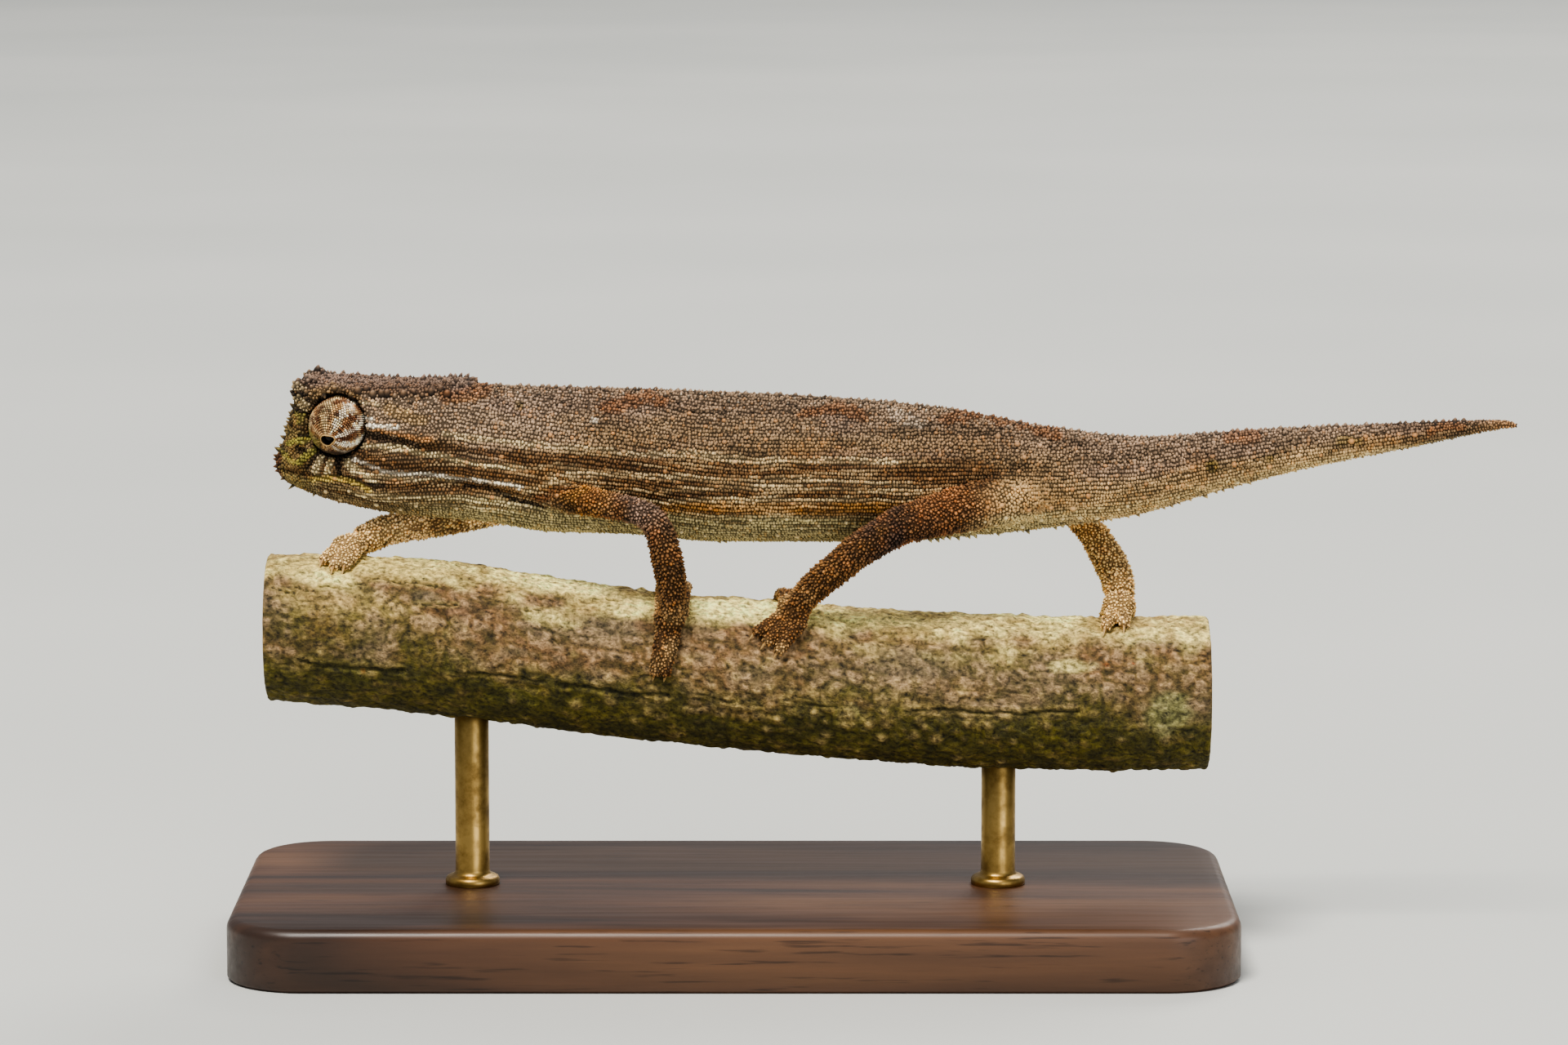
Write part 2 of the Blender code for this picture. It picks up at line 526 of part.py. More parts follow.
def parted(path, joint):
    """Parts a path at a joint so that the two flat ends face each other across the gap."""
    here = path[joint]
    ahead = (path[joint + 1] - path[joint - 1]).normalized()
    upper = [*path[:joint], here - ahead * (GAP / 2 + 0.15), here - ahead * GAP / 2]
    lower = [here + ahead * GAP / 2, here + ahead * (GAP / 2 + 0.15), *path[joint + 1:]]
    return upper, lower


def limb_spines(path, first, last, start_turn, where):
    """Pointed scales round a limb, leaning towards the foot."""
    spines = []
    for k in range(first, last):
        here, ahead = Vector(path[k][:3]), (Vector(path[k + 1][:3]) - Vector(path[k - 1][:3])).normalized()
        side = ahead.cross(Vector((0.3, 1.0, 0.2))).normalized()
        for turn in (start_turn + 75 * k, start_turn + 75 * k + 160):
            out = Matrix.Rotation(math.radians(turn), 3, ahead) @ side
            lean = (out + LIMB_SPINE["lean"] * ahead).normalized()
            root = here + out * (path[k][3] - SPINE_ROOT)
            height = LIMB_SPINE["height"] + SPINE_ROOT
            spines.append(cone("spine", root, lean, LIMB_SPINE["radius"], height, where, BLUNT))
    return spines


def make_limbs(where):
    for limb in LIMBS.values():
        upper_path, lower_path = parted(smooth_path(limb["points"], 2), 2 * limb["joint"])
        upper_name, lower_name = limb["nodes"]
        upper = tube(upper_name, upper_path, where)
        combine(upper, limb_spines(upper_path, 2, len(upper_path) - 3, 20, where), "UNION")
        low, high = (-19.0, -3.0) if "arm" in upper_name else (8.0, 28.0)
        combine(upper, [trunk_length("trunk cutter", low, high, where, 1.2, 24, GAP)], "DIFFERENCE")
        finish(upper, "limb skin")
        lower = tube(lower_name, lower_path, where)
        combine(lower, limb_spines(lower_path, 2, len(lower_path) - 1, 60, where), "UNION")
        x, angle, radius = FEET[limb["foot"]]["knuckle"]
        foot = [palm(limb["foot"], where, GAP)]
        foot.append(ball("knuckle room", perch_point(x, angle, GAP + radius), (radius + GAP,) * 3, where, 10, 7))
        foot += [tube("toe room", toe_path(toe, GAP), where, 1) for toe in FEET[limb["foot"]]["toes"]]
        combine(lower, foot, "DIFFERENCE")
        finish(lower, "limb skin")


def rod(name, x, low, high, radius, where):
    rings = [[Vector((x + radius * math.cos(a), radius * math.sin(a), z)) for a in
              (math.tau * i / 20 for i in range(20))] for z in (low, high)]
    return loft(name, rings, where)


def base_ring(inset, z):
    """The base's outline at one height: a rectangle with round corners."""
    length, width, _ = BASE_SIZE
    ring = []
    for quarter, (sx, sy) in enumerate(((1, 1), (-1, 1), (-1, -1), (1, -1))):
        middle = Vector((sx * (length / 2 - BASE_CORNER), sy * (width / 2 - BASE_CORNER), z))
        for i in range(6):
            turn = math.pi / 2 * (quarter + i / 5)
            ring.append(middle + (BASE_CORNER - inset) * Vector((math.cos(turn), math.sin(turn), 0)))
    return ring


def make_stand(where):
    steps, sides = 13, 24
    low, high = PERCH_ENDS
    stations = [low + (high - low) * i / steps for i in range(steps + 1)]
    rings = [[perch_point(x, 360 * k / sides, 0.0) for k in range(sides)] for x in stations]
    perch = loft("perch_branch", rings, where)
    top = BASE_SIZE[2]
    levels = ((0.5, 0.0), (0.0, 0.5), (0.0, top - 0.9), (0.27, top - 0.27), (0.9, top))
    base = loft("stand_base", [base_ring(inset, z) for inset, z in levels], where)
    for name, x in ROD_X.items():
        reach = along(PERCH_LINE, x) - along(PERCH_RADIUS, x) + ROD_SOCKET
        floor = top - ROD_SOCKET
        combine(base, [rod("hole", x, floor - GAP, top + 5, ROD_RADIUS + GAP, where)], "DIFFERENCE")
        combine(perch, [rod("hole", x, top + 5, reach + GAP, ROD_RADIUS + GAP, where)], "DIFFERENCE")
        finish(rod(name, x, floor, reach, ROD_RADIUS, where), "rod")
    finish(perch, "perch bark")
    finish(base, "base")


def main():
    for obj in list(bpy.data.objects):
        bpy.data.objects.remove(obj)
    animal = bpy.data.collections.new("pygmy chameleon")
    bpy.context.scene.collection.children.link(animal)
    parts = make_trunk(animal)
    make_eyes(parts["head"], animal)
    for part in parts.values():
        finish(part, "bark skin")
    make_limbs(animal)
    for name in FEET:
        make_foot(name, animal)
    make_stand(animal)


main()
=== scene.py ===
# Pygmy chameleon on a cut branch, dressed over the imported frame.
# Tables are in millimetres in the frame's axes (+X to the tail, +Z up); meshes become metres when made.
import math

import bmesh
import bpy
import numpy as np
from mathutils import Matrix, Vector, kdtree
from mathutils.bvhtree import BVHTree


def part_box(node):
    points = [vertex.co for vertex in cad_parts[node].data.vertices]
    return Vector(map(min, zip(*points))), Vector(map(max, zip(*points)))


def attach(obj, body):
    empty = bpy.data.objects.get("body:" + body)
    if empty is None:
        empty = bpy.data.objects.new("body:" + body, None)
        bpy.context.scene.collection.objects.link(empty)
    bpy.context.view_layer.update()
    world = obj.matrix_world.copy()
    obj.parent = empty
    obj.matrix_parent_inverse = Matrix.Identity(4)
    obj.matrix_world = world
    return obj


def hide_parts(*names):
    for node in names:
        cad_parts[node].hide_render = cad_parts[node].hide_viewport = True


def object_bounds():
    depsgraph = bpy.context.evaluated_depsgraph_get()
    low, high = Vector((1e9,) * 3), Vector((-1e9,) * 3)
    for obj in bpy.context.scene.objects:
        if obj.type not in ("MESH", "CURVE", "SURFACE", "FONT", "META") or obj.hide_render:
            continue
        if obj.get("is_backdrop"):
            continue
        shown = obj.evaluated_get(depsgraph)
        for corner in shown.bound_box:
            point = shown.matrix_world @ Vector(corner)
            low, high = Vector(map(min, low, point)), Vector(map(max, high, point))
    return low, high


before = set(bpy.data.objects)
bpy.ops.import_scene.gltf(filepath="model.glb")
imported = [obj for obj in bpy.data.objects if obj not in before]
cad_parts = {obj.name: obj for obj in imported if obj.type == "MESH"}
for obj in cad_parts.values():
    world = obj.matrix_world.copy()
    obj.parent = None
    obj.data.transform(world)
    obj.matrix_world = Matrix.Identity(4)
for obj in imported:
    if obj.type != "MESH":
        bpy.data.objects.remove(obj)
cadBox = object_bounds()
metre = 0.001
tiny = 1e-9


def linear(rgb):  # display colour 0-255 to the renderer's own
    c = np.array(rgb, float) / 255
    return np.where(c <= 0.04045, c / 12.92, ((c + 0.055) / 1.055) ** 2.4)


def ease(start, end, value):
    t = np.clip((value - start) / (end - start), 0, 1)
    return t * t * (3 - 2 * t)


def curveAt(table, x):  # smooth curve through a table's points, which never overshoots them
    px, py = np.array(table, float).T
    slope = np.diff(py) / np.diff(px)
    both = slope[:-1] + slope[1:]
    inner = np.where(slope[:-1] * slope[1:] > 0, 2 * slope[:-1] * slope[1:] / np.where(both == 0, 1, both), 0)
    tangent = np.concatenate([slope[:1], inner, slope[-1:]])
    x = np.clip(x, px[0], px[-1])
    i = np.clip(np.searchsorted(px, x, side="right") - 1, 0, len(px) - 2)
    span = px[i + 1] - px[i]
    t = (x - px[i]) / span
    bend = (t - 1) * ((t - 1) * tangent[i] + t * tangent[i + 1]) * t * span
    return py[i] * (2 * t + 1) * (t - 1) ** 2 + py[i + 1] * t * t * (3 - 2 * t) + bend


def mottle(points, size, seed):  # smooth seeded noise from -1 to 1
    grid = np.asarray(points, float) / size + seed * 7.31
    cell = np.floor(grid).astype(np.int64)
    part = grid - cell
    part = part * part * (3 - 2 * part)
    total = 0.0
    for corner in np.ndindex(2, 2, 2):
        at = cell + corner
        key = (at[..., 0] * 73856093) ^ (at[..., 1] * 19349663) ^ (at[..., 2] * 83492791) ^ (seed * 2654435)
        key = (key ^ (key >> 13)) * 1274126177
        value = ((key ^ (key >> 16)) & 0xFFFF) / 32767.5 - 1
        total = total + value * np.prod(np.where(np.array(corner) == 1, part, 1 - part), axis=-1)
    return total


def nearLine(x, z, line):  # distance from a line drawn on the animal's side
    best = np.full(np.shape(x), 99.0)
    points = line if len(line) > 1 else (line[0], (line[0][0] + 0.01, line[0][1]))
    for (x0, z0), (x1, z1) in zip(points, points[1:]):
        dx, dz = x1 - x0, z1 - z0
        t = np.clip(((x - x0) * dx + (z - z0) * dz) / (dx * dx + dz * dz), 0, 1)
        best = np.minimum(best, np.hypot(x - x0 - t * dx, z - z0 - t * dz))
    return best


def unit(v):
    return v / np.maximum(np.linalg.norm(v, axis=-1, keepdims=True), tiny)


def rowsOf(*values):  # rows of numbers, from one list or one number for each column
    return np.stack(np.broadcast_arrays(*values), -1)


def ringAngles(count):
    return np.linspace(0, math.tau, count, endpoint=False)


def makeMesh(name, points, faces):  # an object in metres from points in millimetres
    mesh = bpy.data.meshes.new(name)
    mesh.from_pydata((np.asarray(points) * metre).tolist(), [], faces)
    mesh.update()
    mesh.shade_smooth()
    piece = bpy.data.objects.new(name, mesh)
    bpy.context.scene.collection.objects.link(piece)
    return piece


def makeSolid(name, points, faces, finish):  # a closed piece with its faces outward, which rides on the body
    piece = makeMesh(name, points, faces)
    mesh = bmesh.new()
    mesh.from_mesh(piece.data)
    bmesh.ops.recalc_face_normals(mesh, faces=mesh.faces)
    mesh.to_mesh(piece.data)
    mesh.free()
    piece.data.materials.append(finish)
    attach(piece, "root")
    return piece


def gridFaces(rows, columns):  # quads between rows of points that run round a form
    return [(r * columns + c, r * columns + (c + 1) % columns, (r + 1) * columns + (c + 1) % columns,
             (r + 1) * columns + c) for r in range(rows - 1) for c in range(columns)]


def flatEnds(rows, columns):  # the same quads, with one flat face at each end
    ends = [tuple(range(columns))[::-1], tuple(range((rows - 1) * columns, rows * columns))]
    return gridFaces(rows, columns) + ends


def pointEnds(rows, columns, flip=False):  # the same quads, with triangles to one more point at each end
    last = rows * columns
    faces = gridFaces(rows, columns)
    for c in range(columns):
        after = (c + 1) % columns
        faces += [(last, after, c), (last + 1, last - columns + c, last - columns + after)]
    return [face[::-1] for face in faces] if flip else faces


def joinMeshes(parts):  # several (points, faces) as one
    faces, start = [], 0
    for points, own in parts:
        faces += [tuple(start + i for i in face) for face in own]
        start += len(points)
    return np.vstack([points for points, _ in parts]), faces


def store(piece, name, values):  # a number, a vector or a colour for every point
    values = np.asarray(values, np.float32)
    width = 1 if values.ndim == 1 else values.shape[1]
    kind, field = {1: ("FLOAT", "value"), 3: ("FLOAT_VECTOR", "vector"), 4: ("FLOAT_COLOR", "color")}[width]
    piece.data.attributes.new(name, kind, "POINT").data.foreach_set(field, values.ravel())


def tint(piece, colours):
    store(piece, "tint", np.hstack([colours, np.ones((len(colours), 1))]))


def finderOf(places):  # a search tree over places
    finder = kdtree.KDTree(len(places))
    for i, place in enumerate(places):
        finder.insert(Vector(place), i)
    finder.balance()
    return finder


# Node trees: each helper returns the new node's first output, or the one that is named
def setInputs(tree, item, values):
    for key, value in values.items():
        if isinstance(value, bpy.types.NodeSocket):
            tree.links.new(value, item.inputs[key])
        else:
            item.inputs[key].default_value = value


def addNode(tree, kind, inputs=None, **settings):
    item = tree.nodes.new(kind)
    for key, value in settings.items():
        setattr(item, key, value)
    setInputs(tree, item, inputs or {})
    return item


def sums(tree, operation, *values):
    return addNode(tree, "ShaderNodeMath", dict(enumerate(values)), operation=operation).outputs[0]


def vectorSums(tree, operation, inputs):
    return addNode(tree, "ShaderNodeVectorMath", inputs, operation=operation).outputs[0]


def ranged(tree, value, low, high, atLow, atHigh, **settings):
    inputs = dict(enumerate((value, low, high, atLow, atHigh)))
    return addNode(tree, "ShaderNodeMapRange", inputs, **settings).outputs[0]


def noise(tree, place, size, **inputs):
    return addNode(tree, "ShaderNodeTexNoise", {"Vector": place, "Scale": size, **inputs}).outputs[0]


def pointValue(tree, name, output="Fac"):
    return addNode(tree, "ShaderNodeAttribute", attribute_name=name).outputs[output]


def placeOf(tree):
    return addNode(tree, "ShaderNodeTexCoord").outputs["Object"]


def bumped(tree, height, strength, distance):
    inputs = {"Height": height, "Strength": strength, "Distance": distance}
    return addNode(tree, "ShaderNodeBump", inputs).outputs[0]


def rampNode(tree, value, *stops):  # display colours or linear greys along a value
    item = addNode(tree, "ShaderNodeValToRGB", {0: value})
    ramp = item.color_ramp
    while len(ramp.elements) < len(stops):
        ramp.elements.new(0.5)
    for element, (place, colour) in zip(ramp.elements, stops):
        element.position = place
        element.color = (*(linear(colour) if not np.isscalar(colour) else (colour,) * 3), 1)
    return item.outputs[0]


def mixNode(tree, factor, a, b, blend="MIX"):
    inputs = {0: factor, 6: a, 7: b}
    return addNode(tree, "ShaderNodeMix", inputs, data_type="RGBA", blend_type=blend).outputs[2]


def newGroup(name, kind, inputs, outputs):  # a node group with named sockets, and the values it is given
    tree = bpy.data.node_groups.new(name, kind)
    for way, sockets in (("INPUT", inputs), ("OUTPUT", outputs)):
        for label, socket in sockets.items():
            tree.interface.new_socket(label, in_out=way, socket_type="NodeSocket" + socket)
    return tree, addNode(tree, "NodeGroupInput").outputs


def newMaterial(name):
    material = bpy.data.materials.new(name)
    material.use_nodes = True
    tree = material.node_tree
    return material, tree, tree.nodes["Principled BSDF"]


# Camera at the photograph's place: level with the flank and a little above it
cameraSet = {"target": (3.15, 0.0, 27.6), "elevation": 8.0, "distance": 380.0, "viewWidth": 100.66,
             "sensor": 36, "clip": (0.01, 20)}
lens = bpy.data.cameras.new("camera")
lens.sensor_width = cameraSet["sensor"]
lens.lens = cameraSet["sensor"] * cameraSet["distance"] / cameraSet["viewWidth"]
lens.clip_start, lens.clip_end = cameraSet["clip"]
camera = bpy.data.objects.new("camera", lens)
bpy.context.scene.collection.objects.link(camera)
tilt = math.radians(cameraSet["elevation"])
back = Vector((0, -math.cos(tilt), math.sin(tilt)))
camera.location = (Vector(cameraSet["target"]) + back * cameraSet["distance"]) * metre
camera.rotation_euler = (-back).to_track_quat("-Z", "Y").to_euler()
bpy.context.scene.camera = camera
print("camera placed")

# The trunk's outlines, the same named tables as the solids have; the skin lies coatDepth under them
trunk = {
    "top": ((-29.5, 31.7), (-28.7, 33.4), (-28.15, 35.3), (-27.5, 36.6), (-26.0, 36.95), (-22.0, 36.75),
        (-17.3, 36.92), (-16.3, 36.58), (-7.0, 36.33), (5.0, 35.83), (13.0, 35.13), (20.0, 33.88),
        (26.0, 33.23), (34.0, 33.71), (45.0, 34.18), (48.6, 34.34), (49.6, 34.3), (50.1, 34.1),
        (50.3, 33.95)),
    "belly": ((-29.5, 30.7), (-28.8, 29.9), (-27.5, 29.3), (-25.0, 28.6), (-21.0, 28.0), (-16.0, 27.65),
        (-12.0, 27.0), (-7.0, 26.85), (-1.0, 26.35), (9.0, 26.35), (16.0, 26.8), (21.5, 27.4), (26.0, 28.1),
        (30.0, 29.3), (36.0, 30.9), (43.0, 32.35), (48.4, 33.42), (49.4, 33.58), (50.1, 33.64),
        (50.3, 33.78)),
    "halfWidth": ((-29.5, 0.75), (-28.6, 1.45), (-27.0, 2.0), (-25.0, 2.4), (-21.0, 2.85), (-17.5, 2.8),
        (-14.0, 2.6), (-10.0, 2.7), (-3.0, 3.05), (8.0, 3.1), (16.0, 2.6), (22.0, 2.0), (30.0, 1.5),
        (40.0, 0.95), (47.0, 0.5), (49.6, 0.36), (50.1, 0.27), (50.3, 0.14)),
    "widest": ((-29.5, 0.5), (-24.0, 0.5), (-18.0, 0.55), (-10.0, 0.5), (0.0, 0.42), (15.0, 0.45),
        (50.3, 0.5)),
    "topShape": ((-29.5, 2.2), (-26.5, 3.2), (-18.5, 3.0), (-15.5, 2.0), (-8.0, 1.6), (15.0, 1.55),
        (50.3, 2.0)),
    "bellyShape": ((-29.5, 2.2), (-26.0, 2.2), (0.0, 1.8), (15.0, 1.8), (28.0, 1.6), (50.3, 2.0)),
    "turn": ((-29.5, 2.5), (-24.0, 1.42), (-18.0, 0.32), (-12.0, 0.0), (50.3, 0.0)),
    "roll": ((-29.5, 0.1), (-18.0, 0.06), (-12.0, 0.0), (50.3, 0.0)),
    "ends": (-29.5, 50.3), "coatDepth": 0.12,
}
# Swellings (station, height, half length, half height, rise), then ridges, creases and the mouth
# (half width, height or depth, points), the lips (distance from the mouth, half width, rise), the nostril
# (station, height, radius, depth) and the brow's knobs (station, distance from the middle, height, radius)
forms = {
    "swellings": ((-27.7, 36.3, 0.65, 0.7, 0.4), (-11.6, 30.1, 2.2, 1.5, 0.35),
        (-13.6, 31.2, 2.6, 0.9, 0.18), (17.6, 30.0, 2.6, 1.7, 0.35), (-21.2, 34.9, 1.7, 0.55, 0.16),
        (-18.6, 35.4, 1.4, 0.6, 0.14), (-26.9, 31.7, 1.4, 0.8, 0.12), (-21.5, 31.6, 2.6, 1.0, 0.14),
        (-20.2, 29.7, 3.4, 0.8, 0.12)),
    "ridges": ((0.26, 0.34, ((-22.9, 34.15), (-21.8, 34.05), (-20.6, 33.65), (-19.5, 33.4),
        (-18.7, 33.42))), (0.3, 0.2, ((-26.6, 36.05), (-24.0, 36.25), (-20.5, 36.2), (-17.6, 36.3))), (0.22,
        0.16, ((-28.38, 32.75), (-27.78, 33.02), (-26.98, 33.19))), (0.24, 0.2, ((-26.4, 32.55),
        (-27.0, 32.18), (-27.64, 31.59))), (0.18, 0.14, ((-28.12, 35.64), (-27.6, 35.68), (-26.96, 35.34))),
        (0.2, 0.14, ((-26.0, 32.02), (-26.32, 31.6), (-26.54, 31.11))), (0.2, 0.12, ((-25.37, 32.01),
        (-25.48, 31.6), (-25.71, 31.11))), (0.22, 0.14, ((-24.33, 32.14), (-24.23, 31.78),
        (-23.87, 31.22)))),
    "creases": ((0.22, 0.42, ((-18.9, 30.75), (-16.9, 30.28), (-15.3, 30.1), (-13.6, 29.4),
        (-12.3, 28.95))), (0.16, 0.3, ((-13.6, 31.55), (-12.2, 31.0), (-11.2, 30.85), (-9.6, 30.3),
        (-7.6, 29.85))), (0.2, 0.3, ((13.6, 30.05), (15.2, 30.55), (16.6, 31.05), (18.0, 31.4),
        (19.2, 31.2))), (0.14, 0.22, ((-22.6, 32.9), (-20.4, 32.5), (-18.4, 32.1), (-16.0, 31.6))), (0.14,
        0.2, ((-22.2, 31.2), (-20.4, 31.05), (-18.0, 30.9), (-15.5, 30.6))), (0.2, 0.3, ((-23.3, 33.8),
        (-21.6, 33.55), (-20.2, 33.1), (-18.9, 32.85))), (0.16, 0.3, ((-28.31, 35.99), (-27.33, 35.9),
        (-26.77, 35.59))), (0.15, 0.3, ((-27.9, 34.96), (-27.48, 34.85), (-27.05, 34.8))), (0.16, 0.3,
        ((-27.62, 33.28), (-26.98, 33.4))), (0.18, 0.34, ((-27.78, 32.56), (-27.47, 32.28),
        (-27.15, 32.47))), (0.15, 0.3, ((-26.2, 32.3), (-26.73, 31.78), (-27.13, 31.22))), (0.2, 0.3,
        ((-24.9, 32.01), (-24.92, 31.06)))),
    "mouth": (0.15, 0.2, ((-29.5, 31.05), (-28.87, 31.0), (-28.15, 30.85), (-26.65, 30.84), (-25.1, 30.95),
        (-24.0, 30.75), (-23.3, 30.37), (-22.7, 30.1))),
    "nostril": (-28.75, 32.3, 0.2, 0.35), "lips": (0.34, 0.16, 0.12),
    "browKnobs": ((-27.6, 1.25, 36.35, 0.46), (-27.15, 1.3, 36.6, 0.44), (-27.85, 1.2, 35.9, 0.32)),
}


def trunkAt(key, x):
    return curveAt(trunk[key], x)


def turnAngle(x):  # the trunk's mid-plane turns by this, seen from above
    gap = 0.05
    return np.arctan((trunkAt("turn", x - gap) - trunkAt("turn", x + gap)) / (2 * gap))


def turned(x, side, z):  # a trunk point from its station, distance off the mid-plane and height
    angle = turnAngle(x)
    return np.stack([x + side * np.sin(angle), trunkAt("turn", x) + side * np.cos(angle),
                     z + side * trunkAt("roll", x)], -1)


def stationOf(points):  # the way back: station, side and height of points in space
    x = points[..., 0]
    for _ in range(6):
        angle = turnAngle(x)
        side = (points[..., 1] - trunkAt("turn", x)) / np.cos(angle)
        x = points[..., 0] - side * np.sin(angle)
    return x, side, points[..., 2] - side * trunkAt("roll", x)


def levelOf(x, z):  # from 0 at the belly's outline to 1 at the back's
    belly = trunkAt("belly", x)
    return (z - belly) / (trunkAt("top", x) - belly)


def plainPoint(x, angle, lift=0.0):  # on the trunk's outline; the angle goes round from its top
    x, angle = np.broadcast_arrays(x, angle)
    top, belly = trunkAt("top", x) + lift, trunkAt("belly", x) - lift
    middle = belly + trunkAt("widest", x) * (top - belly)
    up, across = np.cos(angle), np.sin(angle)
    shape = np.where(up > 0, trunkAt("topShape", x), trunkAt("bellyShape", x))
    reach = np.where(up > 0, top - middle, middle - belly)
    side = (trunkAt("halfWidth", x) + lift) * np.sign(across) * np.abs(across) ** (2 / shape)
    return x, side, middle + np.sign(up) * reach * np.abs(up) ** (2 / shape)


def relief(x, side, z):  # how far the skin swells or sinks there
    rise = 0.0
    for cx, cz, length, height, amount in forms["swellings"]:
        rise = rise + amount * np.exp(-((x - cx) / length) ** 2 - ((z - cz) / height) ** 2)
    for sign, lines in ((1, forms["ridges"]), (-1, (*forms["creases"], forms["mouth"]))):
        for width, amount, line in lines:
            rise = rise + sign * amount * np.exp(-(nearLine(x, z, line) / width) ** 2)
    gap, width, amount = forms["lips"]
    rise = rise + amount * np.exp(-((nearLine(x, z, forms["mouth"][2]) - gap) / width) ** 2)
    cx, cz, radius, depth = forms["nostril"]
    rise = rise - depth * np.exp(-(np.hypot(x - cx, z - cz) / radius) ** 2)
    return rise * ease(0.1, 0.9, np.abs(side))


def trunkPoint(x, angle, lift=0.0):
    return turned(*plainPoint(x, angle, lift))


def trunkAxes(x, angle):  # outward and tailward directions
    tail = unit(trunkPoint(x + 0.08, angle) - trunkPoint(x - 0.08, angle))
    round_ = trunkPoint(x, angle + 0.06) - trunkPoint(x, angle - 0.06)
    return unit(np.cross(tail, round_)), tail


# Eye turrets, in the head's own axes
eyeSet = {"x": -25.0, "z": 34.1, "radius": 1.77, "back": 1.2, "front": 3.75, "shoulder": 0.45, "ball": 0.75,
          "gaze": (-0.33, 1.0, -0.56), "socket": 1.95, "rim": (2.45, 0.3, 0.28), "socketDepth": 0.95}


def headAxes(mirror):
    x = eyeSet["x"]
    tailward = unit(turned(x, 0.0, 0.0) - turned(x - 1.0, 0.0, 0.0))
    outward = unit(turned(x, float(mirror), 0.0) - turned(x, 0.0, 0.0))
    return tailward, outward, np.cross(tailward, outward) * mirror


def turretFrame(mirror):  # centre of the dome, its axes and radii
    axes = headAxes(mirror)
    height = eyeSet["front"] - eyeSet["back"]
    middle = turned(eyeSet["x"], mirror * eyeSet["back"], eyeSet["z"]) + axes[1] * eyeSet["shoulder"] * height
    return middle, axes, (eyeSet["radius"], (1 - eyeSet["shoulder"]) * height, eyeSet["radius"])


def roundTurret(points, mirror):  # distance from the dome's axis, outward and tailward from its centre
    middle, (tailward, out, up), _ = turretFrame(mirror)
    away = points - middle
    return np.hypot(away @ tailward, away @ up), away @ out, away @ tailward


def trunkSkin():
    stations, angles = np.linspace(*trunk["ends"], 400)[:, None], ringAngles(112)[None, :]
    x, side, z = plainPoint(stations, angles, -trunk["coatDepth"])
    points = turned(x, side, z)
    outward = trunkAxes(x, np.broadcast_to(angles, x.shape))[0]
    points = points + outward * (relief(x, side, z) * ease(-29.5, -28.9, x))[..., None]
    for mirror in (-1, 1):  # a socket round each turret
        across, over, _ = roundTurret(points, mirror)
        ring, width, rise = eyeSet["rim"]
        rim = rise * np.exp(-((across - ring) / width) ** 2)
        edge = eyeSet["socket"]
        depth = eyeSet["socketDepth"] * ease(edge + 0.16, edge - 0.05, across)
        near = (across < 3.4) & (over > -1.2)
        points = points + np.where(near, rim - depth, 0)[..., None] * headAxes(mirror)[1]
    return points.reshape(-1, 3), flatEnds(*x.shape)


# Limbs from the body to the foot: (X, Y, Z, radius)
limbs = {
    "foreLeft": ((-12.0, -1.5, 29.6, 1.0), (-9.4, -2.7, 29.35, 0.9), (-7.1, -3.6, 29.05, 0.82),
        (-5.6, -4.05, 28.65, 0.85), (-4.85, -4.3, 27.85, 0.9), (-4.5, -4.5, 26.8, 0.95),
        (-4.15, -4.65, 25.3, 0.97), (-3.95, -4.7, 23.8, 0.85), (-4.05, -4.6, 22.3, 0.75)),
    "hindLeft": ((20.9, -0.5, 29.9, 1.1), (18.4, -1.0, 29.6, 1.75), (15.5, -2.1, 29.05, 1.6),
        (12.6, -3.1, 28.4, 1.3), (10.6, -3.8, 27.95, 1.22), (9.5, -4.0, 27.35, 1.15),
        (7.9, -3.9, 26.35, 1.08), (6.2, -3.5, 24.9, 1.0), (4.9, -3.1, 23.7, 0.95), (3.9, -3.0, 22.6, 0.85)),
    "foreRight": ((-12.6, 1.2, 28.75, 1.0), (-15.2, 2.5, 27.95, 0.84), (-17.7, 3.25, 27.35, 0.83),
        (-19.9, 3.3, 27.0, 0.88), (-21.5, 2.7, 26.9, 0.93), (-22.8, 1.9, 26.75, 1.0),
        (-24.0, 0.9, 26.3, 0.9)),
    "hindRight": ((18.6, 0.9, 29.1, 1.5), (20.1, 2.1, 28.8, 1.2), (21.2, 3.2, 28.4, 1.05),
        (21.95, 3.8, 27.8, 0.95), (22.6, 4.0, 27.05, 0.92), (23.4, 3.8, 26.05, 0.96),
        (24.15, 3.2, 24.8, 1.05), (24.7, 2.4, 23.6, 1.05), (24.85, 1.3, 22.7, 0.9)),
}
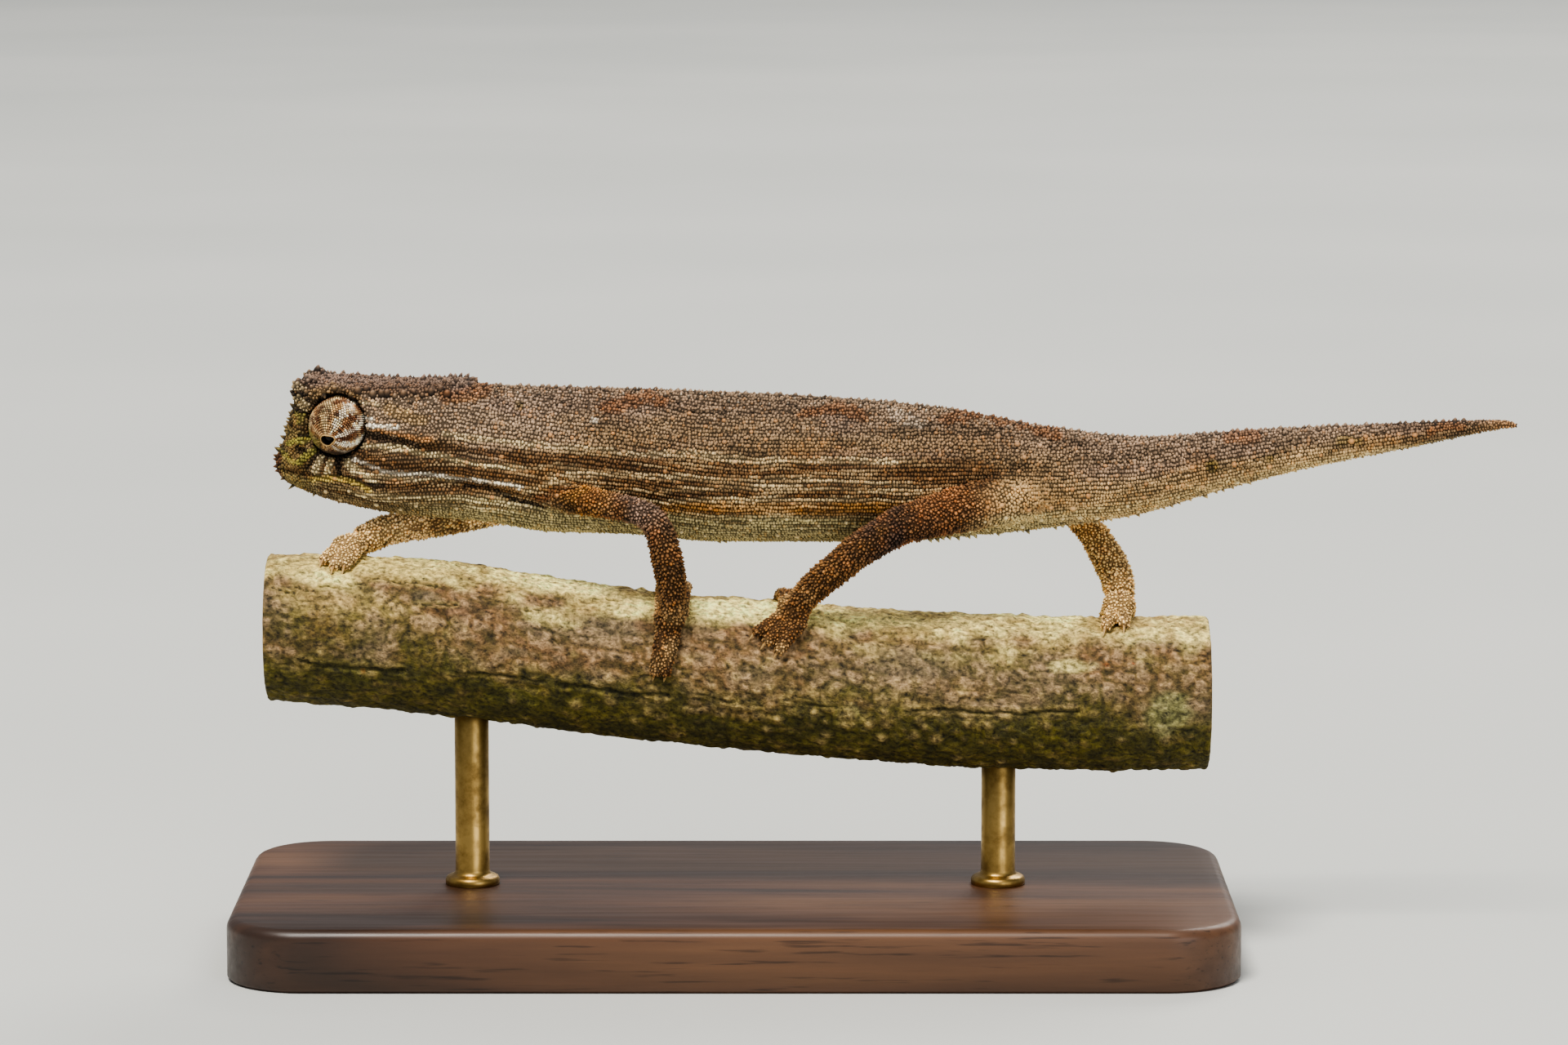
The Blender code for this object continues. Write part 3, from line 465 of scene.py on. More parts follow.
# Feet hold the branch: station and angle round it in degrees, of each palm, knuckle and toe
feet = {
    "toeRadius": 0.46, "toeTip": 0.32, "lift": 0.16, "palmLift": 0.24,
    "foreLeft": {"palm": (-4.15, -48), "size": (0.95, 0.72), "knuckle": (-3.35, -2, 0.36),
        "toes": ((-4.5, -54, -5.1, -86), (-3.85, -54, -4.4, -86), (-4.6, -43, -4.7, 22),
        (-4.0, -43, -3.9, 26), (-3.45, -43, -3.15, 20))},
    "hindLeft": {"palm": (3.8, -30), "size": (1.05, 0.75), "knuckle": (4.2, -5, 0.5),
        "toes": ((3.15, -34, 1.35, -50), (3.7, -37, 2.0, -57), (4.3, -38, 2.75, -63), (3.4, -25, 2.8, 28),
        (4.1, -25, 3.5, 32))},
    "foreRight": {"palm": (-24.8, 0), "size": (1.05, 0.62), "knuckle": (-24.7, 22, 0.5),
        "toes": ((-25.4, -5, -26.3, -23), (-24.9, -7, -25.6, -30), (-24.3, -7, -24.9, -29),
        (-25.0, 5, -25.3, 62), (-24.4, 5, -24.2, 60))},
    "hindRight": {"palm": (24.7, -1), "size": (1.05, 0.75), "knuckle": (24.8, 22, 0.55),
        "toes": ((24.3, -6, 23.7, -28), (25.0, -6, 24.9, -25), (24.2, 4, 23.9, 55), (24.75, 4, 24.8, 59),
        (25.3, 4, 25.6, 55))},
}
perch = {
    "line": ((-30.0, 20.8), (-24.5, 20.55), (-18.0, 20.0), (-11.0, 19.0), (-5.5, 18.3), (0.0, 17.8),
        (7.5, 17.15), (15.0, 16.7), (21.0, 16.5), (30.4, 16.5)),
    "radius": ((-30.0, 4.65), (-17.0, 4.85), (-9.0, 4.72), (5.0, 4.82), (30.4, 4.82)),
    "ends": (-30.0, 30.4),
}


def perchPoint(x, angle, lift):  # the angle is in degrees from the branch's top, negative on the near side
    radius, turn = curveAt(perch["radius"], x) + lift, np.radians(angle)
    return rowsOf(x, radius * np.sin(turn), curveAt(perch["line"], x) + radius * np.cos(turn))


def smoothPath(points, perSpan):  # (X, Y, Z, radius) rows on a smooth curve through the points
    rows = np.array(points, float)
    rows = np.vstack([2 * rows[0] - rows[1], rows, 2 * rows[-1] - rows[-2]])
    path = []
    for a, b, c, d in zip(rows, rows[1:], rows[2:], rows[3:]):
        for t in np.arange(perSpan) / perSpan:
            path.append(0.5 * (2 * b + (c - a) * t + (2 * a - 5 * b + 4 * c - d) * t * t
                               + (3 * b - a - 3 * c + d) * t ** 3))
    return np.array([*path, rows[-2]])


def pathAxes(path):  # tangent and two cross directions that don't twist along the path
    along = unit(np.gradient(path[:, :3], axis=0))
    first = unit(np.cross(along[0], (0.3, 1.0, 0.2)))
    across = [first]
    for step in along[1:]:
        across.append(unit(across[-1] - step * (across[-1] @ step)))
    across = np.array(across)
    return along, across, np.cross(along, across)


def tubeMesh(path, sides=28, inflate=0.0):
    along, across, other = pathAxes(path)
    turn = ringAngles(sides)
    spokes = across[:, None] * np.cos(turn)[None, :, None] + other[:, None] * np.sin(turn)[None, :, None]
    points = path[:, None, :3] + spokes * (path[:, None, 3:] + inflate)
    start = path[0, :3] - along[0] * path[0, 3] * 0.3
    end = path[-1, :3] + along[-1] * (path[-1, 3] + inflate) * 0.75
    return np.vstack([points.reshape(-1, 3), start, end]), pointEnds(len(path), sides)


def ballMesh(centre, radii, axes, rings=18, sides=28):
    up, turn = np.linspace(0, math.pi, rings + 2)[1:-1, None], ringAngles(sides)
    local = rowsOf(np.sin(up) * np.cos(turn), np.sin(up) * np.sin(turn), np.cos(up)).reshape(-1, 3)
    local = np.vstack([local, [(0, 0, 1), (0, 0, -1)]])
    return np.asarray(centre) + (local * radii) @ np.asarray(axes), pointEnds(rings, sides, True)


def toePath(toe):
    x0, a0, x1, a1 = toe
    t = np.linspace(0, 1, 9)
    radius = feet["toeRadius"] + (feet["toeTip"] - feet["toeRadius"]) * t
    place = perchPoint(x0 + (x1 - x0) * t, a0 + (a1 - a0) * t, feet["lift"] + radius)
    return np.hstack([place, radius[:, None]])


def footParts(foot):
    x, angle = foot["palm"]
    length, thickness = foot["size"]
    turn = math.radians(angle)
    axes = ((1, 0, 0), (0, math.cos(turn), -math.sin(turn)), (0, math.sin(turn), math.cos(turn)))
    lift = feet["palmLift"]
    parts = [ballMesh(perchPoint(x, angle, lift + thickness), (length, 0.95 * length, thickness), axes)]
    x, angle, radius = foot["knuckle"]
    parts.append(ballMesh(perchPoint(x, angle, lift + radius), (radius,) * 3, np.eye(3), 12, 18))
    return parts + [tubeMesh(toePath(toe), 18) for toe in foot["toes"]]


skinSet = {"cell": 0.168, "smoothing": 4, "limbInset": 0.1}
limbPaths = {name: smoothPath(points, 8) for name, points in limbs.items()}


def makeSkin():  # every part of the body fused into one skin, still in millimetres
    parts = [trunkSkin()]
    for station, across, height, radius in forms["browKnobs"]:
        for side in (-across, across):
            parts.append(ballMesh(turned(station, side, height), (radius,) * 3, np.eye(3)))
    for name, path in limbPaths.items():
        parts += [tubeMesh(path, 32, -skinSet["limbInset"]), *footParts(feet[name])]
    points, faces = joinMeshes(parts)
    rough = makeMesh("roughSkin", points / metre, faces)
    fuse = rough.modifiers.new("fuse", "REMESH")
    fuse.mode = "VOXEL"
    fuse.voxel_size = skinSet["cell"]
    fuse.use_smooth_shade = True
    settle = rough.modifiers.new("settle", "SMOOTH")
    settle.factor = 0.5
    settle.iterations = skinSet["smoothing"]
    bpy.context.view_layer.update()
    mesh = bpy.data.meshes.new_from_object(rough.evaluated_get(bpy.context.evaluated_depsgraph_get()))
    bpy.data.objects.remove(rough)
    return mesh


def readOut(values, field):
    table = np.empty(len(values) * 3)
    values.foreach_get(field, table)
    return table.reshape(-1, 3)


skinMesh = makeSkin()
skinPoints, skinNormals = readOut(skinMesh.vertices, "co"), readOut(skinMesh.vertex_normals, "vector")
skinFaces = [tuple(p.vertices) for p in skinMesh.polygons]
skinTree = BVHTree.FromPolygons([Vector(p) for p in skinPoints], skinFaces)
print("skin fused:", len(skinMesh.polygons), "faces")

# Scales: rows along the trunk, rings round limbs and toes, then a seeded fill wherever skin is still bare
coat = {
    "rowGap": 0.25, "spacing": 0.178, "ringGap": 0.235, "toeGap": 0.2, "fillGap": 0.165, "tolerance": 0.16,
    "sway": 0.11, "jitter": (0.018, 0.038), "bodyUntil": (1.0, 0.09, 0.3, 0.04, 0.04), "darts": 260000,
    "mouthGap": 0.06, "patch": 0.003, "seed": 11,
}


def trunkRoots():  # (station, angle, row) of every scale in the trunk's rows
    first, last = trunk["ends"]
    stations = np.arange(first + 0.06, last - 0.1, 0.1)
    angles = np.linspace(0, math.pi, 181)
    grid = trunkPoint(stations[:, None], angles[None, :])
    steps = np.cumsum(np.linalg.norm(np.diff(grid, axis=1), axis=2), axis=1)
    arcs = np.hstack([np.zeros((len(stations), 1)), steps])
    arcs = arcs - arcs[:, 90:91]
    count = int(max(-arcs[:, 0].min(), arcs[:, -1].max()) / coat["rowGap"])
    chance = np.random.default_rng(coat["seed"] + 1)
    found = []
    for row in range(-count, count + 1):
        level = row * coat["rowGap"] + coat["sway"] * mottle(rowsOf(stations / 1.5, 0.42 * row, 0.0), 1.0, 71)
        inside = (level > arcs[:, 0] + 0.12) & (level < arcs[:, -1] - 0.12)
        angle = np.array([np.interp(level[i], arcs[i], angles) for i in range(len(stations))])
        for run in np.split(np.arange(len(stations)), np.flatnonzero(np.diff(inside.astype(int))) + 1):
            if len(run) < 4 or not inside[run[0]]:
                continue
            length = lengthAlong(trunkPoint(stations[run], angle[run]))
            at = np.cumsum(coat["spacing"] * chance.uniform(0.78, 1.26, int(length[-1] / coat["spacing"])))
            at = at[at < length[-1]]
            x, turn = np.interp(at, length, stations[run]), np.interp(at, length, angle[run])
            found += [rowsOf(x, side * turn, row) for side in (1, -1)]
    for turn, row in ((0.0, 61), (math.pi, 63)):
        found.append(rowsOf(np.arange(first + 0.2, last - 0.15, coat["spacing"]), turn, row))
    return np.vstack(found)


def lengthAlong(line):
    return np.concatenate([[0], np.cumsum(np.linalg.norm(np.diff(line, axis=0), axis=1))])


def trunkBase(x, angle):  # the skin's surface before limbs are fused on, with its directions
    outward, tail = trunkAxes(x, angle)
    px, side, z = plainPoint(x, angle, -trunk["coatDepth"])
    return turned(px, side, z) + outward * relief(px, side, z)[:, None], outward, tail


def tubeRoots(path, gap, start=0.0):  # rings of scales round a tube, each ring turned half a step
    length = lengthAlong(path[:, :3])
    rings, tables = [], (path, *pathAxes(path))
    for ring, s in enumerate(np.arange(start, length[-1] + gap, gap * 0.86)):
        centre, ahead, first, second = (np.array([np.interp(s, length, column) for column in table.T])
                                        for table in tables)
        radius = centre[3] - skinSet["limbInset"]
        count = max(5, round(math.tau * radius / gap))
        turn = (np.arange(count) + 0.5 * (ring % 2)) * math.tau / count
        spoke = first * np.cos(turn)[:, None] + second * np.sin(turn)[:, None]
        rings.append((centre[:3] + spoke * radius, unit(spoke), np.broadcast_to(unit(ahead), spoke.shape),
                      np.full(count, s / length[-1]), turn / math.tau % 1))
    return [np.concatenate(part) for part in zip(*rings)]


def gatherRoots():
    rows = trunkRoots()
    none = np.zeros(len(rows))
    place, facing, lie = trunkBase(rows[:, 0], rows[:, 1])
    groups = [(place, facing, lie, none.astype(int), rows[:, 0], rows[:, 1] / math.tau % 1, rows[:, 2], none)]
    for number, name in enumerate(limbs, 1):
        tubes = [(limbPaths[name], coat["ringGap"], 0.0)]
        tubes += [(toePath(toe), coat["toeGap"], 0.3) for toe in feet[name]["toes"]]
        for toe, tube in enumerate(tubes):
            place, facing, lie, at, turn = tubeRoots(*tube)
            none, region = np.zeros(len(at)), np.full(len(at), number)
            groups.append((place, facing, lie, region, at + toe, turn, none, none + (toe > 0)))
    keys = ("place", "facing", "lie", "region", "at", "round", "row", "fine")
    return {key: np.concatenate(values) for key, values in zip(keys, zip(*groups))}


def settleOn(places):  # nearest place on the skin, its smooth normal, and how far it was
    where, facing, far = np.empty((len(places), 3)), np.empty((len(places), 3)), np.empty(len(places))
    for i, place in enumerate(places):
        spot, _, face, distance = skinTree.find_nearest(Vector(place))
        where[i], far[i] = spot, distance
        corners = skinMesh.polygons[face].vertices
        facing[i] = skinNormals[list(corners)].mean(0)
    return where, unit(facing), far


def inSocket(places, margin=0.0):
    hit = np.zeros(len(places), bool)
    for mirror in (-1, 1):
        across, over, _ = roundTurret(places, mirror)
        hit |= (across < eyeSet["socket"] + margin) & (over > -1.4)
    return hit


def inMouth(x, z):
    return nearLine(x, z, forms["mouth"][2]) < coat["mouthGap"]


roots = gatherRoots()
x, side, z = stationOf(roots["place"])
low, high = coat["jitter"]
onFlank = low + (high - low) * ease(0.5, 0.72, levelOf(x, z)) * ease(-28, -26, x)
loose = np.where(roots["region"] == 0, onFlank, high)
nudge = np.random.default_rng(coat["seed"]).standard_normal(roots["place"].shape) * loose[:, None]
spot, facing, far = settleOn(roots["place"] + nudge)
x, side, z = stationOf(spot)
kept = (far < coat["tolerance"]) & ~inSocket(spot, 0.1) & ~(inMouth(x, z) & (roots["region"] == 0))
roots = {key: value[kept] for key, value in roots.items()}
roots["place"], roots["facing"] = spot[kept], facing[kept]
print("scales in rows:", len(roots["at"]))


def fillRoots():  # seeded darts over the skin, kept where they land clear of every scale so far
    rng = np.random.default_rng(coat["seed"])
    quads = np.array([face for face in skinFaces if len(face) == 4])
    a, b, c, d = (skinPoints[quads[:, i]] for i in range(4))
    area = np.linalg.norm(np.cross(c - a, d - b), axis=1)
    chosen = rng.choice(len(quads), coat["darts"], p=area / area.sum())
    u, v = rng.random((2, len(chosen), 1))
    darts = (a[chosen] * (1 - u) + b[chosen] * u) * (1 - v) + (d[chosen] * (1 - u) + c[chosen] * u) * v
    darts = darts[~inSocket(darts, 0.08)]
    x, side, z = stationOf(darts)
    darts = darts[~(inMouth(x, z) & (np.abs(side) > 0.3))]
    cell = coat["fillGap"]
    around = list(np.ndindex(3, 3, 3))
    taken, kept = {}, []
    for place in roots["place"]:
        taken.setdefault(tuple((place // cell).astype(int)), []).append(place)
    for place in darts:
        key = tuple((place // cell).astype(int))
        near = [p for i, j, k in around
                for p in taken.get((key[0] + i - 1, key[1] + j - 1, key[2] + k - 1), ())]
        if near and (np.square(np.array(near) - place).sum(1) < cell * cell).any():
            continue
        taken.setdefault(key, []).append(place)
        kept.append(place)
    return np.array(kept)


extra = fillRoots()
finder = finderOf(roots["place"])
nearest = np.array([finder.find(Vector(p))[1] for p in extra])
spot, facing, _ = settleOn(extra)
roots["across"] = np.cross(roots["facing"], roots["lie"])
added = {key: value[nearest] for key, value in roots.items()}
away = spot - added["place"]
added["at"] = added["at"] + np.where(added["region"] == 0, 1, 0.06) * (away * added["lie"]).sum(1)
around = np.where(added["region"] == 0, 24, 6)  # the girth of trunk and limbs in millimetres
added["round"] = (added["round"] + (away * added["across"]).sum(1) / around) % 1
added["place"], added["facing"] = spot, facing
roots = {key: np.concatenate([roots[key], added[key]]) for key in roots}


def alongSkin(lie, facing):  # the part of a direction that lies along the skin
    return unit(lie - facing * (lie * facing).sum(1)[:, None])


roots["lie"] = alongSkin(roots["lie"], roots["facing"])
roots["filled"] = np.arange(len(roots["at"])) >= len(roots["at"]) - len(extra)
print("scales with the fill:", len(roots["at"]))

# Colours of skin, scales and bark, as a person would mix them (display values 0-255)
palette = {
    "slate": (121, 101, 83), "dun": (124, 102, 75), "umber": (82, 56, 28), "tan": (158, 128, 84),
    "cream": (198, 178, 136), "rust": (112, 71, 40), "amber": (162, 116, 72), "sootBlackAndShade": (32, 22, 12),
    "moss": (96, 80, 36), "belly": (155, 142, 102), "lemon": (194, 168, 86), "plum": (50, 35, 27),
    "ash": (214, 202, 182), "bone": (218, 184, 130), "ochre": (136, 95, 44), "citron": (90, 77, 22),
    "fern": (120, 113, 50), "fawn": (154, 132, 110), "white": (240, 230, 208), "mahogany": (76, 42, 22),
    "mauve": (112, 92, 80), "peel": (188, 164, 98), "palePeelAndHighlight": (250, 232, 150), "barkTan": (118, 94, 56),
    "barkOlive": (90, 84, 0), "barkDark": (50, 46, 0), "stain": (96, 58, 30), "lichen": (140, 142, 88),
    "knob": (200, 172, 112), "orange": (170, 90, 40), "grey": (112, 97, 72), "blush": (138, 98, 66),
    "crust": (168, 140, 104),
}
palette = {name: linear(rgb) for name, rgb in palette.items()}

# Marks on the trunk, some of them painted shade and shadow: colour, strength, half width, ragged edge, points
# (station, height)
marksAndShade = (
    ("cream", 0.42, 0.22, 0.25, ((-13.5, 33.0), (-10.3, 32.6), (-7.9, 32.4), (-4.5, 32.4), (1.4, 31.85),
        (8.4, 31.9), (12.0, 31.65))),
    ("umber", 0.75, 0.5, 0.2, ((-14.0, 32.2), (-4.5, 31.65), (1.4, 31.27), (8.4, 31.2), (13.1, 30.9))),
    ("cream", 0.36, 0.2, 0.22, ((-13.5, 31.5), (-11.9, 31.5), (-11.4, 31.7), (-10.7, 31.4), (-8.5, 31.05),
        (-4.5, 30.9), (1.4, 30.7), (8.4, 30.55), (11.5, 30.2))),
    ("umber", 0.6, 0.18, 0.2, ((-8.0, 30.8), (-4.5, 30.5), (1.4, 30.45), (8.4, 30.3), (12.0, 30.0))),
    ("cream", 0.36, 0.18, 0.22, ((-11.8, 31.0), (-10.6, 31.0), (-9.5, 30.6), (-7.6, 30.1), (-5.2, 30.05),
        (1.4, 30.2), (8.4, 30.1), (12.0, 29.9))),
    ("umber", 0.6, 0.17, 0.2, ((-9.5, 30.2), (-6.0, 29.7), (1.4, 29.85), (8.4, 29.75), (12.0, 29.6))),
    ("cream", 0.45, 0.2, 0.22, ((-13.3, 29.9), (-12.1, 30.4), (-11.4, 30.65), (-10.3, 30.3), (-8.4, 29.8),
        (-6.6, 29.4), (-4.5, 29.3), (2.2, 29.4), (8.4, 29.4), (12.0, 29.45))),
    ("ochre", 0.85, 0.38, 0.2, ((-5.0, 28.85), (1.4, 28.8), (5.8, 28.8), (8.4, 28.95), (10.5, 29.05))),
    ("rust", 0.8, 0.3, 0.15, ((-12.5, 29.5), (-11.3, 30.0), (-9.5, 29.8), (-7.1, 29.5), (-5.6, 29.2))),
    # painted shadow under the near upper arm
    ("sootBlackAndShade", 0.6, 0.22, 0.12, ((-10.9, 29.2), (-9.0, 28.8), (-7.4, 28.3))),
    ("umber", 0.75, 0.7, 0.35, ((11.0, 31.2), (13.6, 31.3), (16.4, 31.0))),
    # painted shade in the crease over the thigh
    ("sootBlackAndShade", 0.5, 0.25, 0.15, ((14.4, 30.2), (16.0, 30.65), (17.4, 31.2), (18.4, 31.4))),
    ("rust", 0.65, 0.34, 0.4, ((-8.3, 35.25), (-6.9, 35.55), (-5.6, 35.75), (-4.6, 35.6))),
    ("rust", 0.65, 0.38, 0.45, ((4.2, 34.7), (5.8, 35.1), (7.3, 34.9), (8.2, 34.4))),
    ("rust", 0.6, 0.34, 0.4, ((13.1, 34.25), (14.7, 34.5), (15.9, 34.5), (17.8, 34.05), (20.6, 33.4))),
    ("moss", 0.8, 0.32, 0.12, ((-13.7, 35.3),)),
    ("sootBlackAndShade", 0.6, 0.12, 0.06, ((-13.7, 35.3),)),
    ("moss", 0.8, 0.36, 0.12, ((30.5, 31.55),)),
    ("sootBlackAndShade", 0.7, 0.14, 0.06, ((30.5, 31.55),)),
    ("moss", 0.55, 0.3, 0.12, ((34.2, 31.85),)),
    ("moss", 0.6, 0.35, 0.15, ((38.8, 32.9), (39.8, 32.9))),
    ("rust", 0.5, 0.3, 0.2, ((31.5, 33.1), (33.4, 33.3))),
    ("rust", 0.55, 0.35, 0.25, ((44.5, 33.6), (46.5, 33.7))),
    ("ash", 0.14, 0.26, 0.75, ((8.6, 35.3), (9.6, 35.0), (10.6, 34.6), (11.6, 34.4))),
    ("ash", 0.4, 0.2, 0.1, ((-9.0, 34.5), (-8.9, 34.45))),
)
# Marks on the head, the same columns; the dark lines that run along the creases of the snout, brow, cheek and
# neck are painted shade
headMarksAndShade = (
    ("mauve", 0.7, 0.5, 0.2, ((-27.2, 36.75), (-24.0, 36.75), (-20.0, 36.7), (-17.2, 36.7))),
    ("umber", 0.5, 0.3, 0.2, ((-26.4, 36.2), (-23.4, 36.3), (-20.4, 36.3), (-18.2, 36.4))),
    ("tan", 0.45, 0.45, 0.3, ((-26.6, 36.0), (-25.2, 36.1), (-23.8, 35.9))),
    ("cream", 0.4, 0.2, 0.15, ((-28.1, 36.3), (-27.7, 36.45), (-27.3, 36.4))),
    ("sootBlackAndShade", 0.85, 0.13, 0.06, ((-28.31, 35.99), (-27.33, 35.9), (-26.77, 35.59))),
    ("cream", 0.6, 0.13, 0.06, ((-28.12, 35.64), (-27.6, 35.68), (-26.96, 35.34))),
    ("cream", 0.55, 0.09, 0.05, ((-27.68, 35.29), (-27.27, 35.11), (-27.0, 35.04))),
    ("sootBlackAndShade", 0.85, 0.12, 0.06, ((-27.9, 34.96), (-27.48, 34.85), (-27.05, 34.8))),
    ("fern", 0.5, 0.16, 0.1, ((-27.88, 34.68), (-27.31, 34.62), (-27.63, 34.14))),
    ("umber", 0.7, 0.2, 0.1, ((-28.01, 33.89), (-27.15, 33.82))),
    ("sootBlackAndShade", 0.9, 0.13, 0.06, ((-27.62, 33.28), (-26.98, 33.4))),
    ("fern", 0.85, 0.18, 0.06, ((-28.38, 32.75), (-27.78, 33.02), (-26.98, 33.19))),
    ("sootBlackAndShade", 0.85, 0.18, 0.08, ((-27.78, 32.56), (-27.47, 32.28), (-27.15, 32.47))),
    ("fern", 0.9, 0.22, 0.06, ((-26.4, 32.55), (-26.99, 32.18), (-27.64, 31.59))),
    ("fern", 0.6, 0.2, 0.12, ((-28.77, 32.08), (-28.01, 31.56))),
    ("sootBlackAndShade", 0.8, 0.14, 0.06, ((-26.2, 32.3), (-26.73, 31.78), (-27.13, 31.22))),
    ("cream", 0.85, 0.22, 0.06, ((-25.99, 32.02), (-26.32, 31.6), (-26.54, 31.11))),
    ("umber", 0.85, 0.11, 0.05, ((-25.73, 32.01), (-25.92, 31.23))),
    ("cream", 0.85, 0.2, 0.06, ((-25.37, 32.01), (-25.48, 31.6), (-25.71, 31.11))),
    ("sootBlackAndShade", 0.9, 0.24, 0.08, ((-24.9, 32.01), (-24.92, 31.06))),
    ("cream", 0.85, 0.24, 0.06, ((-24.33, 32.14), (-24.23, 31.78), (-23.87, 31.22))),
    ("ash", 0.85, 0.12, 0.06, ((-23.69, 32.98), (-23.54, 33.19))),
    ("sootBlackAndShade", 0.8, 0.22, 0.08, ((-23.33, 32.64),)),
    ("cream", 0.9, 0.25, 0.08, ((-23.83, 31.57), (-23.36, 31.21), (-22.89, 30.84), (-22.47, 30.58))),
    ("ash", 0.75, 0.13, 0.06, ((-23.87, 32.11), (-23.02, 31.82), (-22.06, 31.43), (-21.0, 31.2),
        (-19.96, 30.94))),
    ("umber", 0.8, 0.28, 0.1, ((-23.39, 32.4), (-22.59, 32.11), (-21.79, 31.82), (-20.47, 31.7),
        (-18.38, 31.62), (-16.63, 31.38))),
    ("white", 0.8, 0.15, 0.08, ((-22.07, 31.27), (-20.48, 31.21), (-18.91, 31.12), (-17.68, 30.91),
        (-16.12, 30.71), (-14.55, 30.51), (-13.5, 30.22))),
    ("umber", 0.7, 0.12, 0.06, ((-22.2, 31.05), (-20.5, 31.0), (-18.9, 30.96))),
    ("cream", 0.7, 0.12, 0.06, ((-22.86, 31.1), (-21.8, 30.95), (-20.49, 30.86), (-18.92, 30.8),
        (-17.69, 30.7))),
    ("umber", 0.85, 0.16, 0.08, ((-23.17, 30.55), (-22.38, 30.36), (-21.04, 30.36), (-19.47, 30.39),
        (-18.16, 30.35), (-17.17, 30.34))),
    ("amber", 0.7, 0.12, 0.05, ((-21.67, 30.62), (-21.29, 30.69), (-20.81, 30.65))),
    ("sootBlackAndShade", 0.85, 0.12, 0.05, ((-24.47, 30.88), (-23.7, 30.69), (-22.91, 30.45), (-21.84, 30.38))),
    ("lemon", 0.7, 0.19, 0.06, ((-26.9, 30.5), (-25.84, 30.62), (-25.02, 30.63), (-24.21, 30.56),
        (-23.45, 30.31), (-22.94, 29.99))),
    ("umber", 0.7, 0.13, 0.06, ((-26.46, 29.91), (-25.37, 29.78), (-24.3, 29.55), (-23.28, 29.31),
        (-21.96, 29.08))),
    ("cream", 0.65, 0.13, 0.06, ((-24.27, 29.8), (-23.26, 29.43), (-21.94, 29.26), (-20.58, 29.5))),
    ("mahogany", 0.8, 0.24, 0.1, ((-29.11, 31.71), (-29.29, 31.26), (-29.32, 30.79), (-29.02, 30.36))),
    ("umber", 0.75, 0.2, 0.1, ((-28.46, 31.02), (-27.76, 30.9), (-26.93, 30.7))),
    ("sootBlackAndShade", 0.7, 0.36, 0.12, ((-23.28, 33.93), (-22.48, 33.65), (-21.52, 33.43), (-20.46, 33.24),
        (-19.15, 33.05))),
    ("umber", 0.6, 0.3, 0.12, ((-19.4, 33.1), (-18.1, 32.96), (-17.15, 32.68), (-15.58, 32.47),
        (-13.49, 32.2))),
    ("white", 0.95, 0.14, 0.04, ((-23.4, 34.42), (-22.86, 34.36), (-22.33, 34.28), (-21.68, 34.24),
        (-20.94, 34.2))),
    ("white", 0.9, 0.12, 0.04, ((-23.41, 34.76), (-22.98, 34.72), (-22.5, 34.69))),
    ("cream", 0.6, 0.14, 0.06, ((-23.34, 35.61), (-22.82, 35.68), (-22.33, 35.55))),
    ("tan", 0.6, 0.36, 0.15, ((-21.57, 35.38), (-20.49, 34.9), (-19.43, 34.66))),
    ("bone", 0.9, 0.14, 0.05, ((-20.4, 35.21), (-20.28, 35.21))),
    ("amber", 0.85, 0.13, 0.05, ((-22.48, 34.07), (-21.79, 33.94), (-20.98, 33.81), (-20.2, 33.67),
        (-19.57, 33.46), (-18.89, 33.47))),
    ("cream", 0.8, 0.18, 0.08, ((-23.33, 32.98), (-22.59, 32.96), (-21.52, 32.9), (-20.46, 32.77),
        (-19.41, 32.51), (-18.11, 32.32), (-17.41, 32.04), (-16.11, 31.79), (-14.54, 31.59),
        (-13.49, 31.51))),
    ("cream", 0.45, 0.2, 0.1, ((-18.15, 33.8), (-16.63, 33.5), (-15.07, 33.23), (-13.5, 33.09))),
    ("sootBlackAndShade", 0.92, 0.16, 0.06, ((-17.06, 30.34), (-16.12, 30.32), (-15.34, 30.14), (-14.56, 29.73),
        (-13.78, 29.27), (-12.2, 28.9))),
    ("cream", 0.6, 0.13, 0.06, ((-23.23, 29.74), (-21.62, 29.7), (-20.04, 29.63), (-18.48, 29.54),
        (-16.66, 29.37), (-14.57, 29.11), (-13.0, 28.82))),
    ("cream", 0.55, 0.12, 0.06, ((-20.62, 29.14), (-19.04, 29.12), (-17.73, 28.96), (-16.15, 28.83),
        (-14.58, 28.65))),
    ("umber", 0.55, 0.12, 0.06, ((-21.6, 29.42), (-20.04, 29.38), (-18.4, 29.32), (-16.6, 29.14),
        (-14.6, 28.88))),
    ("rust", 0.6, 0.4, 0.15, ((-18.13, 35.96), (-17.19, 36.02), (-16.44, 36.16), (-15.84, 36.27))),
    ("amber", 0.5, 0.1, 0.05, ((-18.19, 35.72), (-17.19, 35.78), (-16.17, 35.86), (-15.56, 35.96))),
    ("mauve", 0.45, 0.4, 0.2, ((-15.12, 35.51), (-13.53, 35.0))),
)


def plain(name, like):  # one palette colour at every place
    return np.broadcast_to(palette[name], (*np.shape(like), 3))


def painted(colours, *layers):  # paints palette colours over, each by its share at every place
    for name, share in layers:
        share = np.clip(share, 0, 1)[..., None]
        colours = colours * (1 - share) + palette[name] * share
    return colours


